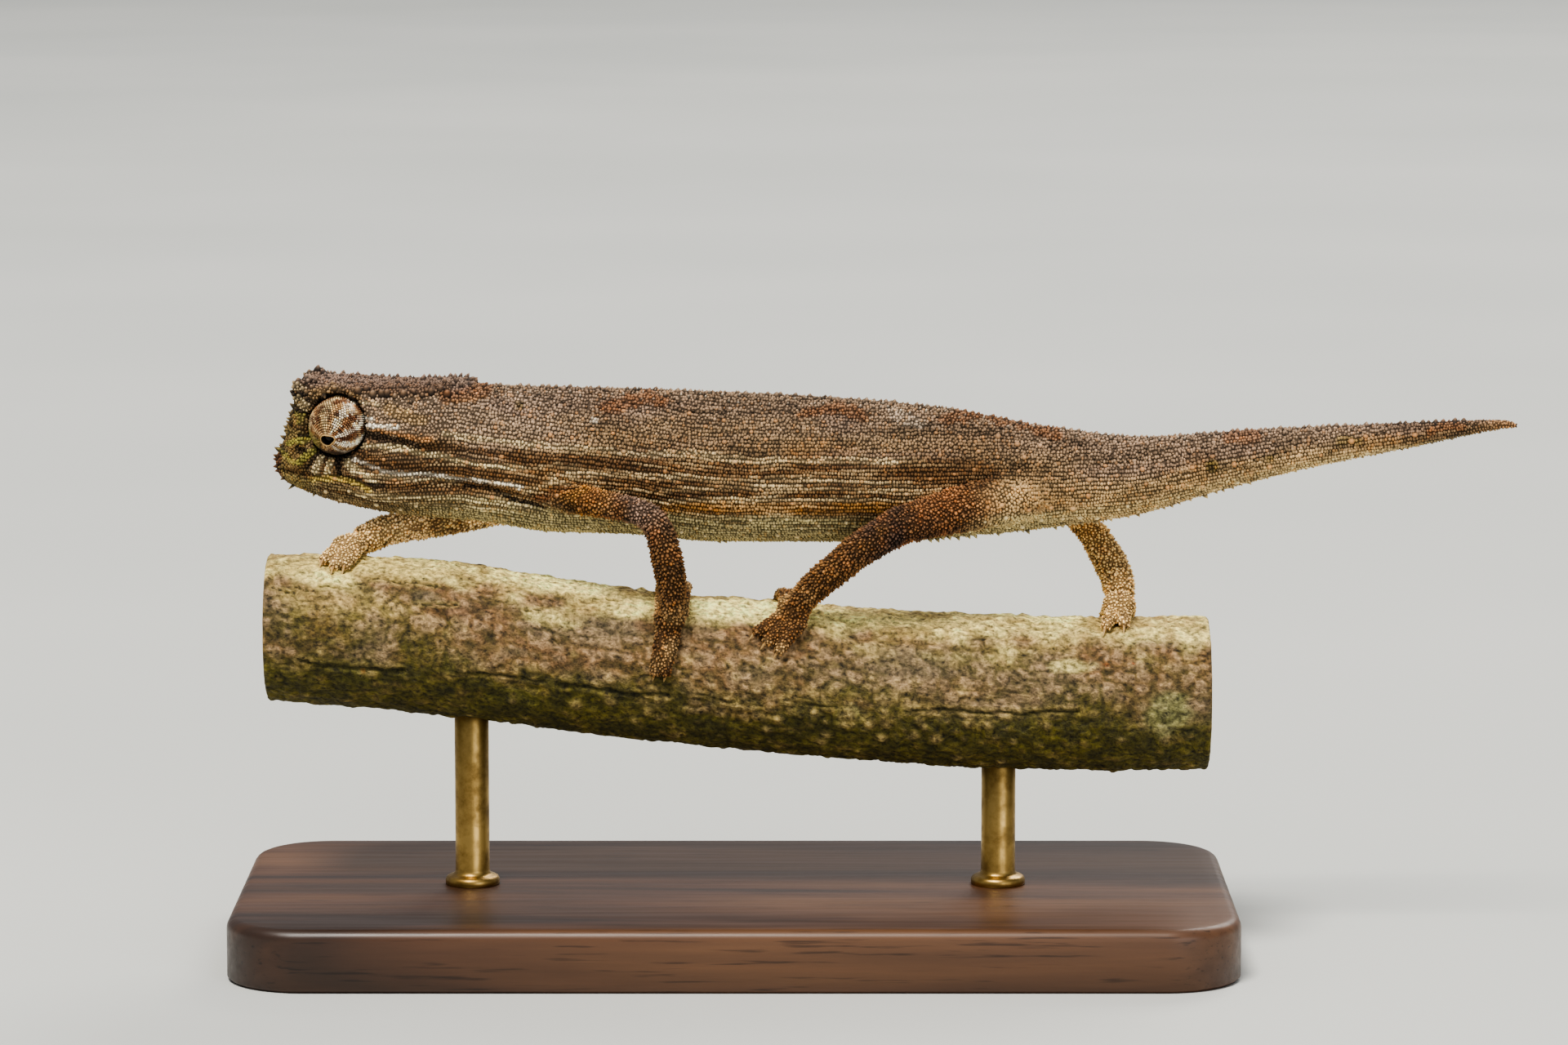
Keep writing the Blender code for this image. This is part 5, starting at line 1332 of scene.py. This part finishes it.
def turretSurface(mirror, share, phi, lift):  # from the opening's edge (0) to behind the dome's shoulder (1)
    middle, basis, (wide, deep, _) = turretFrame(mirror)
    radii = np.array((wide, deep, wide))
    share, phi = np.broadcast_arrays(np.asarray(share, float), np.asarray(phi, float))
    pole = unit(np.array(eyeSet["gaze"]) / radii)
    first = unit(np.array((1.0, 0, 0)) - pole * pole[0])
    second = np.cross(first, pole)
    second = second if second[2] > 0 else -second
    tip = (openingSize(phi) / wide)[..., None]
    spoke = first * np.cos(phi)[..., None] + second * np.sin(phi)[..., None]
    start = pole * np.cos(tip) + spoke * np.sin(tip)
    edge = turretSet["backEdge"]
    side = math.sqrt(1 - edge * edge)
    end = rowsOf(side * np.cos(phi), edge, side * np.sin(phi))
    between = np.arccos(np.clip((start * end).sum(-1), -1, 1))[..., None]
    share = share[..., None]
    d = (start * np.sin((1 - share) * between) + end * np.sin(share * between)) / np.sin(between)
    rim = unit(d * (1, 0, 1))
    front = d[..., 1:2] > 0
    place = np.where(front, d * radii, rim * wide + d * (0, 1.7, 0))
    facing = np.where(front, unit(d / radii), rim)
    return middle + (place + facing * lift) @ np.array(basis), facing @ np.array(basis)


lipFinish = scaleMaterial("turretSkin", 0.9, 0.0, 0.62, 4200, 0.3, 0.3, 0.5)


def makeTurret(mirror, name):
    phi = ringAngles(turretSet["shellColumns"])
    # the pit and the skin under the scales are tinted dark as painted shade
    pitShade, lip, shadeBetweenScales = palette["sootBlackAndShade"] * 0.3, palette["tan"] * 1.05, palette["umber"] * 0.42
    pupil, facing = turretSurface(mirror, 0, phi, 0)
    centre, inward = pupil.mean(0), unit(-facing.mean(0))
    rows = [(centre + (pupil - centre) * shrink + inward * depth, pitShade)  # the pit that holds the eye, tinted near black as painted shade
            for depth, shrink in ((turretSet["pitDepth"], 0.3), (0.6, 0.8), (0.3, 0.93), (0.08, 0.96))]
    for share, lift in ((0.0, 0.01), (0.004, 0.03), (0.01, 0.035), (0.016, 0.015), (0.023, -0.04)):
        rows.append((turretSurface(mirror, share, phi, lift)[0], lip))
    for share in np.linspace(0.08, 1, 26):
        rows.append((turretSurface(mirror, share, phi, turretSet["skinLift"])[0], shadeBetweenScales))
    middle, (_, out, _), _ = turretFrame(mirror)
    tips = (centre + inward * turretSet["pitDepth"], middle - out * turretSet["rearDepth"])
    points = np.vstack([*(row for row, _ in rows), *tips])
    shell = makeSolid(name, points, pointEnds(len(rows), len(phi)), lipFinish)
    tint(shell, np.vstack([np.repeat([colour for _, colour in rows], len(phi), 0), pitShade, shadeBetweenScales]))
    return shell, centre, inward


def apart(degrees, other):
    return np.abs((degrees - other + 180) % 360 - 180)


def turretScales(mirror, name, seed):
    chance = np.random.default_rng(seed)
    rings, streaks = [], {}
    lift, ahead = turretSet["skinLift"], 0.02
    shares = np.linspace(0.043, 0.97, turretSet["rings"])
    for ring, share in enumerate(shares):
        columns = turretSet["nearColumns"] if ring < 4 else turretSet["farColumns"]
        if columns not in streaks:
            streaks[columns] = chance.uniform(-1, 1, columns)
        phi = (np.arange(columns) + 0.5 * (ring % 2 if ring > 5 else 0)) * math.tau / columns
        place, facing = turretSurface(mirror, share, phi, lift)
        lie = turretSurface(mirror, share + ahead, phi, lift)[0] - place
        beside = turretSurface(mirror, share, phi + math.tau / columns, lift)[0] - place
        long = 0.5 * np.linalg.norm(lie, axis=1) / ahead * (shares[1] - shares[0])
        wide = 0.5 * np.linalg.norm(beside, axis=1)
        size = rowsOf(long * 1.12, np.clip(wide * 1.08, 0.05, 0.16), 0.1 + 0.04 * ease(0, 6, ring))
        degrees = np.degrees(phi)
        cluster = mottle(rowsOf(8 * np.cos(phi), 8 * np.sin(phi), ring / 2.6), 1.0, 70)
        streak = 0.35 * streaks[columns] + 1.5 * cluster + 0.25 * chance.standard_normal(columns)
        colour = painted(plain("dun", phi), ("bone", 0.85 * ease(0.1, 0.6, streak)),
                         ("mahogany", 0.9 * ease(0.0, -0.5, streak)),
                         ("amber", 0.6 * ease(0.1, 0.6, mottle(place, 0.4, 71))))
        for at, half, tone, strength in turretBands:
            band = ease(half * 1.5, half * 0.5, apart(degrees, at) + 3 * chance.standard_normal(columns))
            colour = painted(colour, (tone, strength * band * ease(-0.9, 0.1, cluster)))
        colour = painted(colour, ("sootBlackAndShade", 0.92 * ease(0.1, 0.26, share) * ease(75, 40, apart(degrees, -85))),
                         ("fern", 0.8 * ease(0.12, 0.4, share) * ease(45, 25, apart(degrees, 190))))
        colour = colour * np.clip(1.1 + 0.36 * chance.standard_normal((columns, 1)), 0.35, 2.2)
        # painted light: lighter towards the tail's side, a little darker on top
        colour = colour * (1 + 0.3 * np.cos(phi) - 0.15 * np.clip(np.sin(phi), 0, 1))[:, None]
        # painted shade where the dome's edge meets the groove round it
        colour = painted(colour, ("umber", 0.4 * ease(0.8, 0.98, share)))
        unwrap = rowsOf(0.02 + 0.96 * phi / math.tau, 0.03 + 0.94 * share)
        rings.append((place, facing, unit(lie), size, colour, unwrap))
    place, facing, lie, size, colour, unwrap = (np.concatenate(values) for values in zip(*rings))
    return plant(name, "granule", {"place": place, "facing": facing, "lie": lie}, size,
                 np.clip(colour, 0.004, 0.9), coatFinish, unwrap, seed, 0.06)


eyeFinish, tree, shader = newMaterial("wetEye")
cloud = noise(tree, placeOf(tree), 2600.0, Detail=3.0)
setInputs(tree, shader, {"Base Color": rampNode(tree, cloud, (0.35, (6, 5, 4)), (0.7, (20, 13, 8))),
                         "Roughness": 0.03, "Specular IOR Level": 0.16})

for mirror, sideName in ((-1, "left"), (1, "right")):
    shell, opening, inward = makeTurret(mirror, "turret_" + sideName)
    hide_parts("eyelid_" + sideName)
    turretScales(mirror, "turretScales_" + sideName, 40 + mirror)
    radius = eyeSet["ball"]
    points, faces = ballMesh(opening + inward * (0.2 + radius), (radius,) * 3, np.eye(3), 30, 44)
    ball = makeSolid("eyeball_" + sideName, points, faces, eyeFinish)
    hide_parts("eye_" + sideName)
print("turrets and eyes made")

# Claws: curved horn cones from each toe's tip down to the bark
claws = {"length": 0.5, "radius": 0.13, "sides": 10, "root": 0.2, "rows": 9}
hornFinish, tree, shader = newMaterial("horn")
shade = rampNode(tree, pointValue(tree, "along"),
                 (0.0, (84, 56, 32)), (0.4, (160, 126, 80)), (1.0, (214, 190, 142)))
shade = mixNode(tree, noise(tree, placeOf(tree), 5000.0), shade, (0.5, 0.36, 0.2, 1), "SOFT_LIGHT")
setInputs(tree, shader, {"Base Color": shade, "Roughness": 0.32})


def clawMesh(toe):
    x0, a0, x1, a1 = toe
    radius = curveAt(perch["radius"], x1)
    step = unit(np.array((x1 - x0, math.radians(a1 - a0) * radius)))
    t = np.linspace(0, 1, claws["rows"])
    reach = -claws["root"] + (claws["length"] + claws["root"]) * t
    x, angle = x1 + step[0] * reach, a1 + np.degrees(step[1] * reach / radius)
    lift = feet["lift"] + feet["toeTip"] + 0.1 - 0.02 * t - 0.42 * t ** 2.2
    path = np.hstack([perchPoint(x, angle, lift), (claws["radius"] * (1 - t) ** 0.75 + 0.015)[:, None]])
    return tubeMesh(path, claws["sides"])


toes = [toe for name in limbs for toe in feet[name]["toes"]]
clawPiece = makeSolid("claws", *joinMeshes([clawMesh(toe) for toe in toes]), hornFinish)
clawRows = np.repeat(np.linspace(0, 1, claws["rows"]), claws["sides"])
store(clawPiece, "along", np.tile([*clawRows, 0, 1], len(toes)))
print("claws made")

# Perch: a weathered branch with broken cracks, lichen and soft pale pustules; pale peel on top with painted
# light over it, olive below with painted shade over it
# Cracks: half width, depth, points (station, angle from the top in degrees, negative on the near side)
# Pustules that the photograph shows: station, angle, radius; the others are strewn
bark = {
    "columns": 420, "sides": 236, "lift": 0.07, "endGap": 0.12, "radius": 4.8,
    "cracks": ((0.06, 0.8, ((-29.5, -50.1), (-28.9, -51.7), (-28.3, -54.3))), (0.06, 0.8, ((-28.0, -47.4),
        (-27.4, -50.1), (-26.7, -50.5))), (0.06, 0.9, ((-26.5, -45.0), (-25.7, -45.4), (-25.1, -47.4))),
        (0.06, 0.8, ((-24.9, -44.1), (-24.1, -42.7), (-23.5, -43.2))), (0.08, 1.0, ((-23.1, -36.8),
        (-22.0, -37.6), (-21.0, -40.3))), (0.07, 1.0, ((-21.0, -37.8), (-19.9, -38.1), (-19.0, -39.1))),
        (0.06, 0.8, ((-20.0, -56.9), (-18.9, -55.4), (-17.7, -54.9))), (0.06, 0.8, ((-13.4, -50.0),
        (-12.8, -48.3), (-12.1, -47.9))), (0.06, 0.9, ((-10.7, -28.7), (-9.2, -27.5), (-7.4, -27.4))),
        (0.05, 0.6, ((-5.2, -33.7), (-3.7, -35.0), (-2.6, -34.4))), (0.05, 0.6, ((17.8, -14.1),
        (20.4, -17.7), (22.5, -15.7))), (0.05, 0.6, ((2.6, -33.2), (4.5, -35.2), (5.8, -36.0))), (0.1, 0.9,
        ((-27.7, -107.2), (-25.6, -109.3), (-23.5, -110.5), (-21.0, -108.4))), (0.09, 0.7, ((-17.7, -104.3),
        (-15.5, -103.8), (-12.1, -102.5))), (0.12, 1.0, ((-11.2, -103.7), (-9.2, -103.9), (-7.3, -105.0),
        (-4.2, -101.7))), (0.08, 0.6, ((-2.4, -98.9), (-0.5, -103.4), (1.6, -105.0))), (0.07, 0.6,
        ((3.1, -98.6), (5.2, -98.9), (7.3, -98.0))), (0.09, 0.8, ((10.9, -97.9), (14.5, -97.2),
        (18.3, -96.8), (22.0, -93.8))), (0.13, 1.2, ((10.6, -133.1), (11.4, -133.2))), (0.13, 1.2,
        ((12.2, -128.6), (12.8, -128.8))), (0.08, 0.9, ((-26, 96), (-19, 104), (-12, 99))), (0.09, 0.9,
        ((-7, 106), (0, 103), (9, 99))), (0.06, 0.8, ((-24, 38), (-20, 43))), (0.06, 0.8, ((1, 50),
        (6, 47))), (0.08, 0.8, ((14, 96), (23, 101)))),
    "pustules": ((-2.9, -74.0, 0.3), (-0.4, -74.8, 0.26), (-1.6, -85.6, 0.24), (0.1, -83.7, 0.24),
        (1.4, -92.7, 0.26), (3.6, -90.5, 0.3), (8.8, -59.3, 0.4), (8.7, -76.2, 0.34), (14.5, -81.5, 0.4),
        (16.2, -85.6, 0.26), (7.2, -104.5, 0.5), (8.5, -112.7, 0.34), (14.9, -106.7, 0.34),
        (16.1, -106.2, 0.32), (-23.1, -77.0, 0.34), (-19.7, -67.2, 0.2), (-17.8, -66.2, 0.22),
        (-18.3, -77.9, 0.26), (-17.1, -72.0, 0.24), (-26.3, -99.4, 0.3), (-13.9, -95.9, 0.26),
        (-12.8, -93.9, 0.3), (-10.1, -120.1, 0.34), (-7.9, -113.1, 0.34)),
    "strewn": 300,
}
# Patches on the bark: colour, strength, station, angle, half length and half width in millimetres
barkPatches = (
    ("stain", 0.6, -19.5, -40, 1.8, 0.4), ("stain", 0.5, -18.5, -60, 1.4, 0.5),
    ("grey", 0.7, -19.6, -50, 1.0, 0.5), ("peel", 0.7, -24.5, -24, 5.5, 1.3),
    ("palePeelAndHighlight", 0.7, 3.5, -22, 9.0, 1.2), ("peel", 0.5, -25.0, -60, 4.0, 1.0),
    ("barkOlive", 0.5, -26.0, -78, 3.0, 1.3), ("grey", 0.6, -8.0, -52, 2.2, 0.8),
    ("stain", 0.4, -5.5, -46, 0.9, 0.7), ("lichen", 0.6, -24.5, -118, 1.3, 0.8),
    ("lichen", 0.55, -14.0, -122, 1.8, 0.7), ("lichen", 0.6, 27.5, -96, 1.6, 1.4),
    ("lichen", 0.5, 7.2, -106, 1.2, 0.7), ("orange", 0.8, 23.7, -58, 0.16, 0.12),
    ("orange", 0.8, 25.4, -58, 0.13, 0.1), ("orange", 0.75, -23.6, -112, 0.14, 0.16),
    ("palePeelAndHighlight", 0.6, 21.4, -60, 1.3, 0.45), ("grey", 0.6, 11.0, -62, 3.0, 1.0),
    ("barkOlive", 0.4, 9.0, -88, 3.0, 0.5), ("lichen", 0.6, -4.0, 60, 3.0, 2.0),
    ("stain", 0.5, 14.0, 70, 2.0, 1.2), ("moss", 0.8, 12.9, -54, 0.5, 0.35),
)


def strewnPustules():
    chance = np.random.default_rng(31)
    near = bark["strewn"] // 3
    far = bark["strewn"] - near
    x = np.concatenate([chance.uniform(-6, 20, near), chance.uniform(-29.5, 30, far)])
    angle = np.concatenate([chance.uniform(-125, -60, near), chance.uniform(-180, 180, far)])
    return np.vstack([bark["pustules"], rowsOf(x, angle, 0.1 + 0.22 * chance.random(len(x)) ** 1.6)])


pustules = strewnPustules()


def barkForm(x, angle):  # height above the branch's tube, and colour, with painted light on top and painted shade below and in the hollows
    radius = bark["radius"]
    turn = np.radians(angle)
    arc = turn * radius
    around = rowsOf(x, radius * np.sin(turn), radius * np.cos(turn))
    broad, medium, small, tinyLumps = (mottle(around / (1.3, 1, 1), size, seed) for size, seed in
                                       ((2.6, 51), (1.15, 60), (0.52, 61), (0.27, 62)))
    hue, damp = mottle(around / (1.7, 1, 1), 1.6, 63), mottle(around / (2.2, 1, 1), 2.4, 64)
    split = mottle(rowsOf(x / 2.4, arc / 0.5, 3.0), 1.0, 55)
    fissure = ease(0.09, 0.0, np.abs(split)) * ease(0.1, 0.6, mottle(around / (2, 1, 1), 1.4, 56))
    crack, lip, knob = np.zeros((3, *np.shape(x)))
    for width, depth, line in bark["cracks"]:
        line = tuple((px, math.radians(pa) * radius) for px, pa in line)
        far = nearLine(x, arc + 0.14 * medium + 0.1 * small, line)
        crack = np.maximum(crack, depth * np.exp(-(far / width) ** 2))
        lip = np.maximum(lip, depth * np.exp(-((far - 2.6 * width) / (1.5 * width)) ** 2))
    for px, pa, size in pustules:
        far = np.hypot(x - px, arc - math.radians(pa) * radius) + 0.07 * tinyLumps
        knob = np.maximum(knob, np.exp(-(far / size) ** 2) * min(1, size / 0.26))
    lumps = np.abs(mottle(around / (1.2, 1, 1), 0.62, 65))  # rounded lumps with sharp valleys between
    crust = np.abs(mottle(around, 0.34, 66))
    height = (0.09 * broad + 0.08 * medium + 0.05 * small + 0.2 * lumps + 0.1 * crust + 0.16 * knob
              + 0.07 * lip - 0.22 * crack - 0.06 * fissure - 0.07)
    valleyShade = np.maximum(0.8 * ease(0.2, 0.0, lumps), 0.6 * ease(0.16, 0.0, crust))
    # top: pale peel that also carries painted light from above; under: olive growth that also carries painted
    # shade
    down = np.abs(np.asarray(angle) + 8)
    top = ease(46, 20, down - 15 * medium - 10 * hue)
    under = ease(76, 108, down + 16 * medium + 10 * damp)
    c = painted(
        plain("barkTan", x),
        ("grey", 0.6 * ease(-0.1, 0.5, hue + 0.4 * small)),
        ("blush", 0.5 * ease(0.1, 0.7, 0.4 * small - hue)),
        ("barkOlive", 0.35 * ease(0.0, 0.6, damp + 0.4 * medium) * ease(25, 60, down)),
        ("crust", 0.6 * ease(0.3, 0.65, lumps + 0.4 * crust + 0.2 * tinyLumps)),
        ("barkDark", 0.45 * ease(-0.15, -0.7, small + 0.6 * tinyLumps)),
        ("peel", 0.75 * top),
        ("palePeelAndHighlight", 0.95 * top * ease(-0.3, 0.5, broad + 0.5 * small)),
        ("barkTan", 0.6 * top * ease(0.1, 0.6, tinyLumps + 0.5 * small - 0.3 * broad)))
    for name, strength, px, pa, half, wide in barkPatches:
        away = np.hypot((x - px) / half, (arc - math.radians(pa) * radius) / wide)
        c = painted(c, (name, strength * ease(1.3, 0.6, away + 0.3 * medium + 0.25 * small)))
    # below: olive growth and painted shade together; valleys, fissures and cracks darkened as painted shade
    c = painted(
        c,
        ("barkOlive", 0.85 * under),
        ("barkDark", 0.62 * under * ease(-0.5, 0.5, medium - 0.5 * small)),
        ("barkTan", 0.4 * under * ease(0.3, 0.8, small + 0.4 * tinyLumps)),
        ("knob", 0.6 * knob),
        ("peel", 0.55 * lip * (1 - under)),
        ("barkDark", 0.6 * fissure),
        ("barkDark", 0.75 * valleyShade * (1 - 0.5 * top)),
        ("barkDark", 0.95 * ease(0.25, 0.7, crack)))
    # brighter on top as painted light
    return height, c * (1.08 + 0.24 * tinyLumps + 0.1 * small + 0.12 * top)[..., None]


def woodGrainGroup():  # shared fine fibres of bark and timber, drawn out along X
    tree, given = newGroup("woodFibre", "ShaderNodeTree", {"Fibre Size": "Float", "Stretch": "Vector"},
                           {"Fibre": "Float", "Pores": "Float"})
    drawn = vectorSums(tree, "MULTIPLY", {0: placeOf(tree), 1: given["Stretch"]})
    fibre = noise(tree, drawn, given["Fibre Size"], Detail=5.0, Roughness=0.6)
    pore = noise(tree, drawn, sums(tree, "MULTIPLY", given["Fibre Size"], 3.1), Detail=2.0)
    addNode(tree, "NodeGroupOutput", {0: fibre, 1: ranged(tree, pore, 0.6, 0.72, 0.0, 1.0)})
    return tree


woodFibre = woodGrainGroup()


def woodMaterial(name, size, stretch, light, dark, rough, bump, depth, own=None):
    material, tree, shader = newMaterial(name)
    item = addNode(tree, "ShaderNodeGroup", {}, node_tree=woodFibre)
    setInputs(tree, item, {"Fibre Size": size, "Stretch": stretch})
    fibre, pores = item.outputs["Fibre"], item.outputs["Pores"]
    base = pointValue(tree, "tint", "Color") if own is None else own(tree)
    shade = rampNode(tree, fibre, (0.3, dark), (0.7, light))
    mixed = mixNode(tree, 1.0, base, shade, "MULTIPLY")
    mixed = mixNode(tree, pores, mixed, mixNode(tree, 1.0, mixed, (0.45, 0.42, 0.38, 1), "MULTIPLY"))
    setInputs(tree, shader, {
        "Base Color": mixed, "Roughness": ranged(tree, fibre, 0.3, 0.7, rough[1], rough[0]),
        "Normal": bumped(tree, fibre, bump, depth)})
    return material


def makeBark():
    first, last = perch["ends"]
    x = np.linspace(first + bark["endGap"], last - bark["endGap"], bark["columns"])
    x = np.array([first, *x, last])
    xs, angles = np.meshgrid(x, np.linspace(-180, 180, bark["sides"], endpoint=False), indexing="ij")
    height, colour = barkForm(xs, angles)
    inset = np.where((xs == first) | (xs == last), -0.1, 0)
    points = perchPoint(xs, angles, bark["lift"] + height * 0.9 + inset)
    centres = [(end, 0, curveAt(perch["line"], end)) for end in perch["ends"]]
    finish = woodMaterial("bark", 3600.0, (0.8, 1.0, 1.0), 1.7, 0.14, (0.72, 0.92), 1.0, 0.0003)
    allPoints = np.vstack([points.reshape(-1, 3), centres])
    piece = makeSolid("perchBark", allPoints, pointEnds(*xs.shape, True), finish)
    tint(piece, np.clip(np.vstack([colour.reshape(-1, 3), *[palette["peel"]] * 2]), 0.004, 0.95))
    return piece, points[0], points[-1]


barkPiece, leftRing, rightRing = makeBark()
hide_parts("perch_branch")
print("bark made:", len(barkPiece.data.polygons), "faces")


def sawnEnd(ring, outward):  # growth rings across each sawn face
    centre = ring.mean(0)
    step = np.array((outward, 0, 0))
    rows = [centre + (ring - centre) * 0.985 - step * 0.2]
    rows += [centre + (ring - centre) * share + step * 0.02 for share in np.linspace(0.985, 0.02, 14)]
    return np.vstack([*rows, centre - step * 0.2, rows[-1].mean(0)]), pointEnds(len(rows), len(ring)), centre


def endGrain(tree):
    warp = noise(tree, placeOf(tree), 900.0)
    bent = sums(tree, "MULTIPLY_ADD", warp, 0.12, pointValue(tree, "across"))
    step = sums(tree, "PINGPONG", sums(tree, "MULTIPLY", bent, 9.0), 1.0)
    return rampNode(tree, step, (0.0, (150, 116, 74)), (0.35, (206, 176, 128)), (1.0, (222, 196, 152)))


endFinish = woodMaterial("endGrain", 2600.0, (1.0, 1.0, 1.0), 1.0, 0.8, (0.7, 0.85), 0.4, 0.00006, endGrain)
for name, ring, outward in (("sawnEnd_front", leftRing, -1), ("sawnEnd_back", rightRing, 1)):
    points, faces, centre = sawnEnd(ring, outward)
    endPiece = makeSolid(name, points, faces, endFinish)
    radius = np.linalg.norm((ring - centre)[:, 1:], axis=1).mean()
    store(endPiece, "across", np.linalg.norm((points - centre)[:, 1:], axis=1) / radius)

# Display stand: a flat base with rounded corners and two turned rods
stand = {"size": (64.0, 30.0, 4.0), "corner": 5.0, "cornerSteps": 14, "edge": 0.7, "rodX": (-17.0, 17.0),
         "rodRadius": 1.1, "collar": 1.75, "collarHeight": 0.6, "sides": 64}


def makeBase():
    length, width, height = stand["size"]
    corner, edge = stand["corner"], stand["edge"]
    turn = np.linspace(0, math.pi / 2, stand["cornerSteps"])
    outline, facing = [], []
    for quarter, signs in enumerate(((1, 1), (-1, 1), (-1, -1), (1, -1))):
        t = turn + quarter * math.pi / 2
        facing.append(rowsOf(np.cos(t), np.sin(t)))
        outline.append(np.array(signs) * (length / 2 - corner, width / 2 - corner) + facing[-1] * corner)
    outline, facing = np.vstack(outline), np.vstack(facing)
    bend = np.linspace(0, math.pi / 2, 7)
    rounded = rowsOf(edge * (1 - np.cos(bend)), height - edge * (1 - np.sin(bend)))
    profile = [(0.25, 0.0), (0.0, 0.25), *rounded, (1.6, height)]
    rows = [np.hstack([outline - facing * inset, np.full((len(outline), 1), z)]) for inset, z in profile]
    return np.vstack(rows), flatEnds(len(rows), len(outline))


def walnut(tree):
    drawn = vectorSums(tree, "MULTIPLY", {0: placeOf(tree), 1: (0.1, 1.0, 1.0)})
    bands = noise(tree, drawn, 170.0, Detail=3.0, Distortion=0.6)
    return rampNode(tree, bands, (0.35, (52, 34, 24)), (0.5, (82, 54, 36)), (0.65, (104, 72, 48)))


baseFinish = woodMaterial("walnut", 1300.0, (0.05, 1.0, 1.0), 1.0, 0.74, (0.34, 0.5), 0.25, 0.00004, walnut)
basePiece = makeSolid("standBase", *makeBase(), baseFinish)
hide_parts("stand_base")

brassFinish, tree, shader = newMaterial("agedBrass")
haze = noise(tree, placeOf(tree), 520.0, Detail=6.0, Roughness=0.65)
drawn = vectorSums(tree, "MULTIPLY", {0: placeOf(tree), 1: (1.0, 1.0, 0.04)})
setInputs(tree, shader, {
    "Base Color": rampNode(tree, haze, (0.35, (116, 92, 52)), (0.6, (176, 146, 88))),
    "Roughness": ranged(tree, haze, 0.35, 0.65, 0.5, 0.3), "Metallic": 1.0,
    "Normal": bumped(tree, noise(tree, drawn, 6000.0, Detail=2.0), 0.25, 0.00002)})

for end, x in zip(("front", "back"), stand["rodX"]):
    node = "stand_rod_" + end
    foot = stand["size"][2]
    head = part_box(node)[1][2] / metre
    r, wide, rim = stand["rodRadius"], stand["collar"], foot + stand["collarHeight"]
    profile = ((0.6 * r, foot - 1.6), (r, foot - 1.4), (wide - 0.1, foot - 0.05), (wide, foot + 0.06),
               (wide, rim - 0.25), (wide - 0.08, rim - 0.1), (wide - 0.25, rim), (r + 0.2, rim + 0.04),
               (r + 0.05, rim + 0.16), (r, rim + 0.4), (r, head - 0.2), (r - 0.2, head))
    turn = ringAngles(stand["sides"])
    rings = [rowsOf(x + radius * np.cos(turn), radius * np.sin(turn), z) for radius, z in profile]
    rod = makeSolid("rod_" + end, np.vstack(rings), flatEnds(len(rings), len(turn)), brassFinish)
    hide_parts(node)
print("stand made")

# Studio: pale floor, soft light from above and a little in front; lamps in metres and watts
studio = {
    "floor": 8.0, "sky": (0.86, 0.88, 0.9), "skyStrength": 0.42, "aim": (0, 0, 0.028),
    "lamps": (("key", (-0.3, -0.62, 1.3), 0.5, 26.0, (1.0, 0.96, 0.9)),
              ("fill", (0.8, -1.4, 0.35), 1.0, 7.0, (0.95, 0.97, 1.0)),
              ("rim", (0.5, 1.0, 0.9), 0.7, 8.0, (1.0, 0.97, 0.92))),
}
half = studio["floor"] / 2 / metre
corners = [(-half, -half, 0), (half, -half, 0), (half, half, 0), (-half, half, 0)]
floor = makeMesh("floor", corners, [(0, 1, 2, 3)])
floorFinish, tree, shader = newMaterial("paleFloor")
cloud = noise(tree, placeOf(tree), 9.0, Detail=2.0)
setInputs(tree, shader, {"Base Color": rampNode(tree, cloud, (0.3, (198, 200, 196)), (0.7, (206, 207, 203))),
                         "Roughness": 0.75})
floor.data.materials.append(floorFinish)
floor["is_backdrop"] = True
world = bpy.data.worlds.new("studio")
bpy.context.scene.world = world
world.use_nodes = True
background = world.node_tree.nodes["Background"]
setInputs(world.node_tree, background, {"Color": (*studio["sky"], 1), "Strength": studio["skyStrength"]})
for name, where, size, power, colour in studio["lamps"]:
    lamp = bpy.data.lights.new(name, "AREA")
    lamp.shape = "DISK"
    lamp.size, lamp.energy, lamp.color = size, power, colour
    lampObject = bpy.data.objects.new(name, lamp)
    bpy.context.scene.collection.objects.link(lampObject)
    lampObject.location = where
    lampObject.rotation_euler = (Vector(studio["aim"]) - Vector(where)).to_track_quat("-Z", "Y").to_euler()
bpy.context.scene.view_settings.view_transform = "AgX"
bpy.context.scene.view_settings.look = "AgX - Medium High Contrast"

for shape in shapes.values():
    bpy.data.objects.remove(shape)
bpy.context.view_layer.update()
sizes = {"cad": [[float(v) for v in corner] for corner in cadBox], "visual": [[float(v) for v in corner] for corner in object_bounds()]}
print("boxes:", sizes)
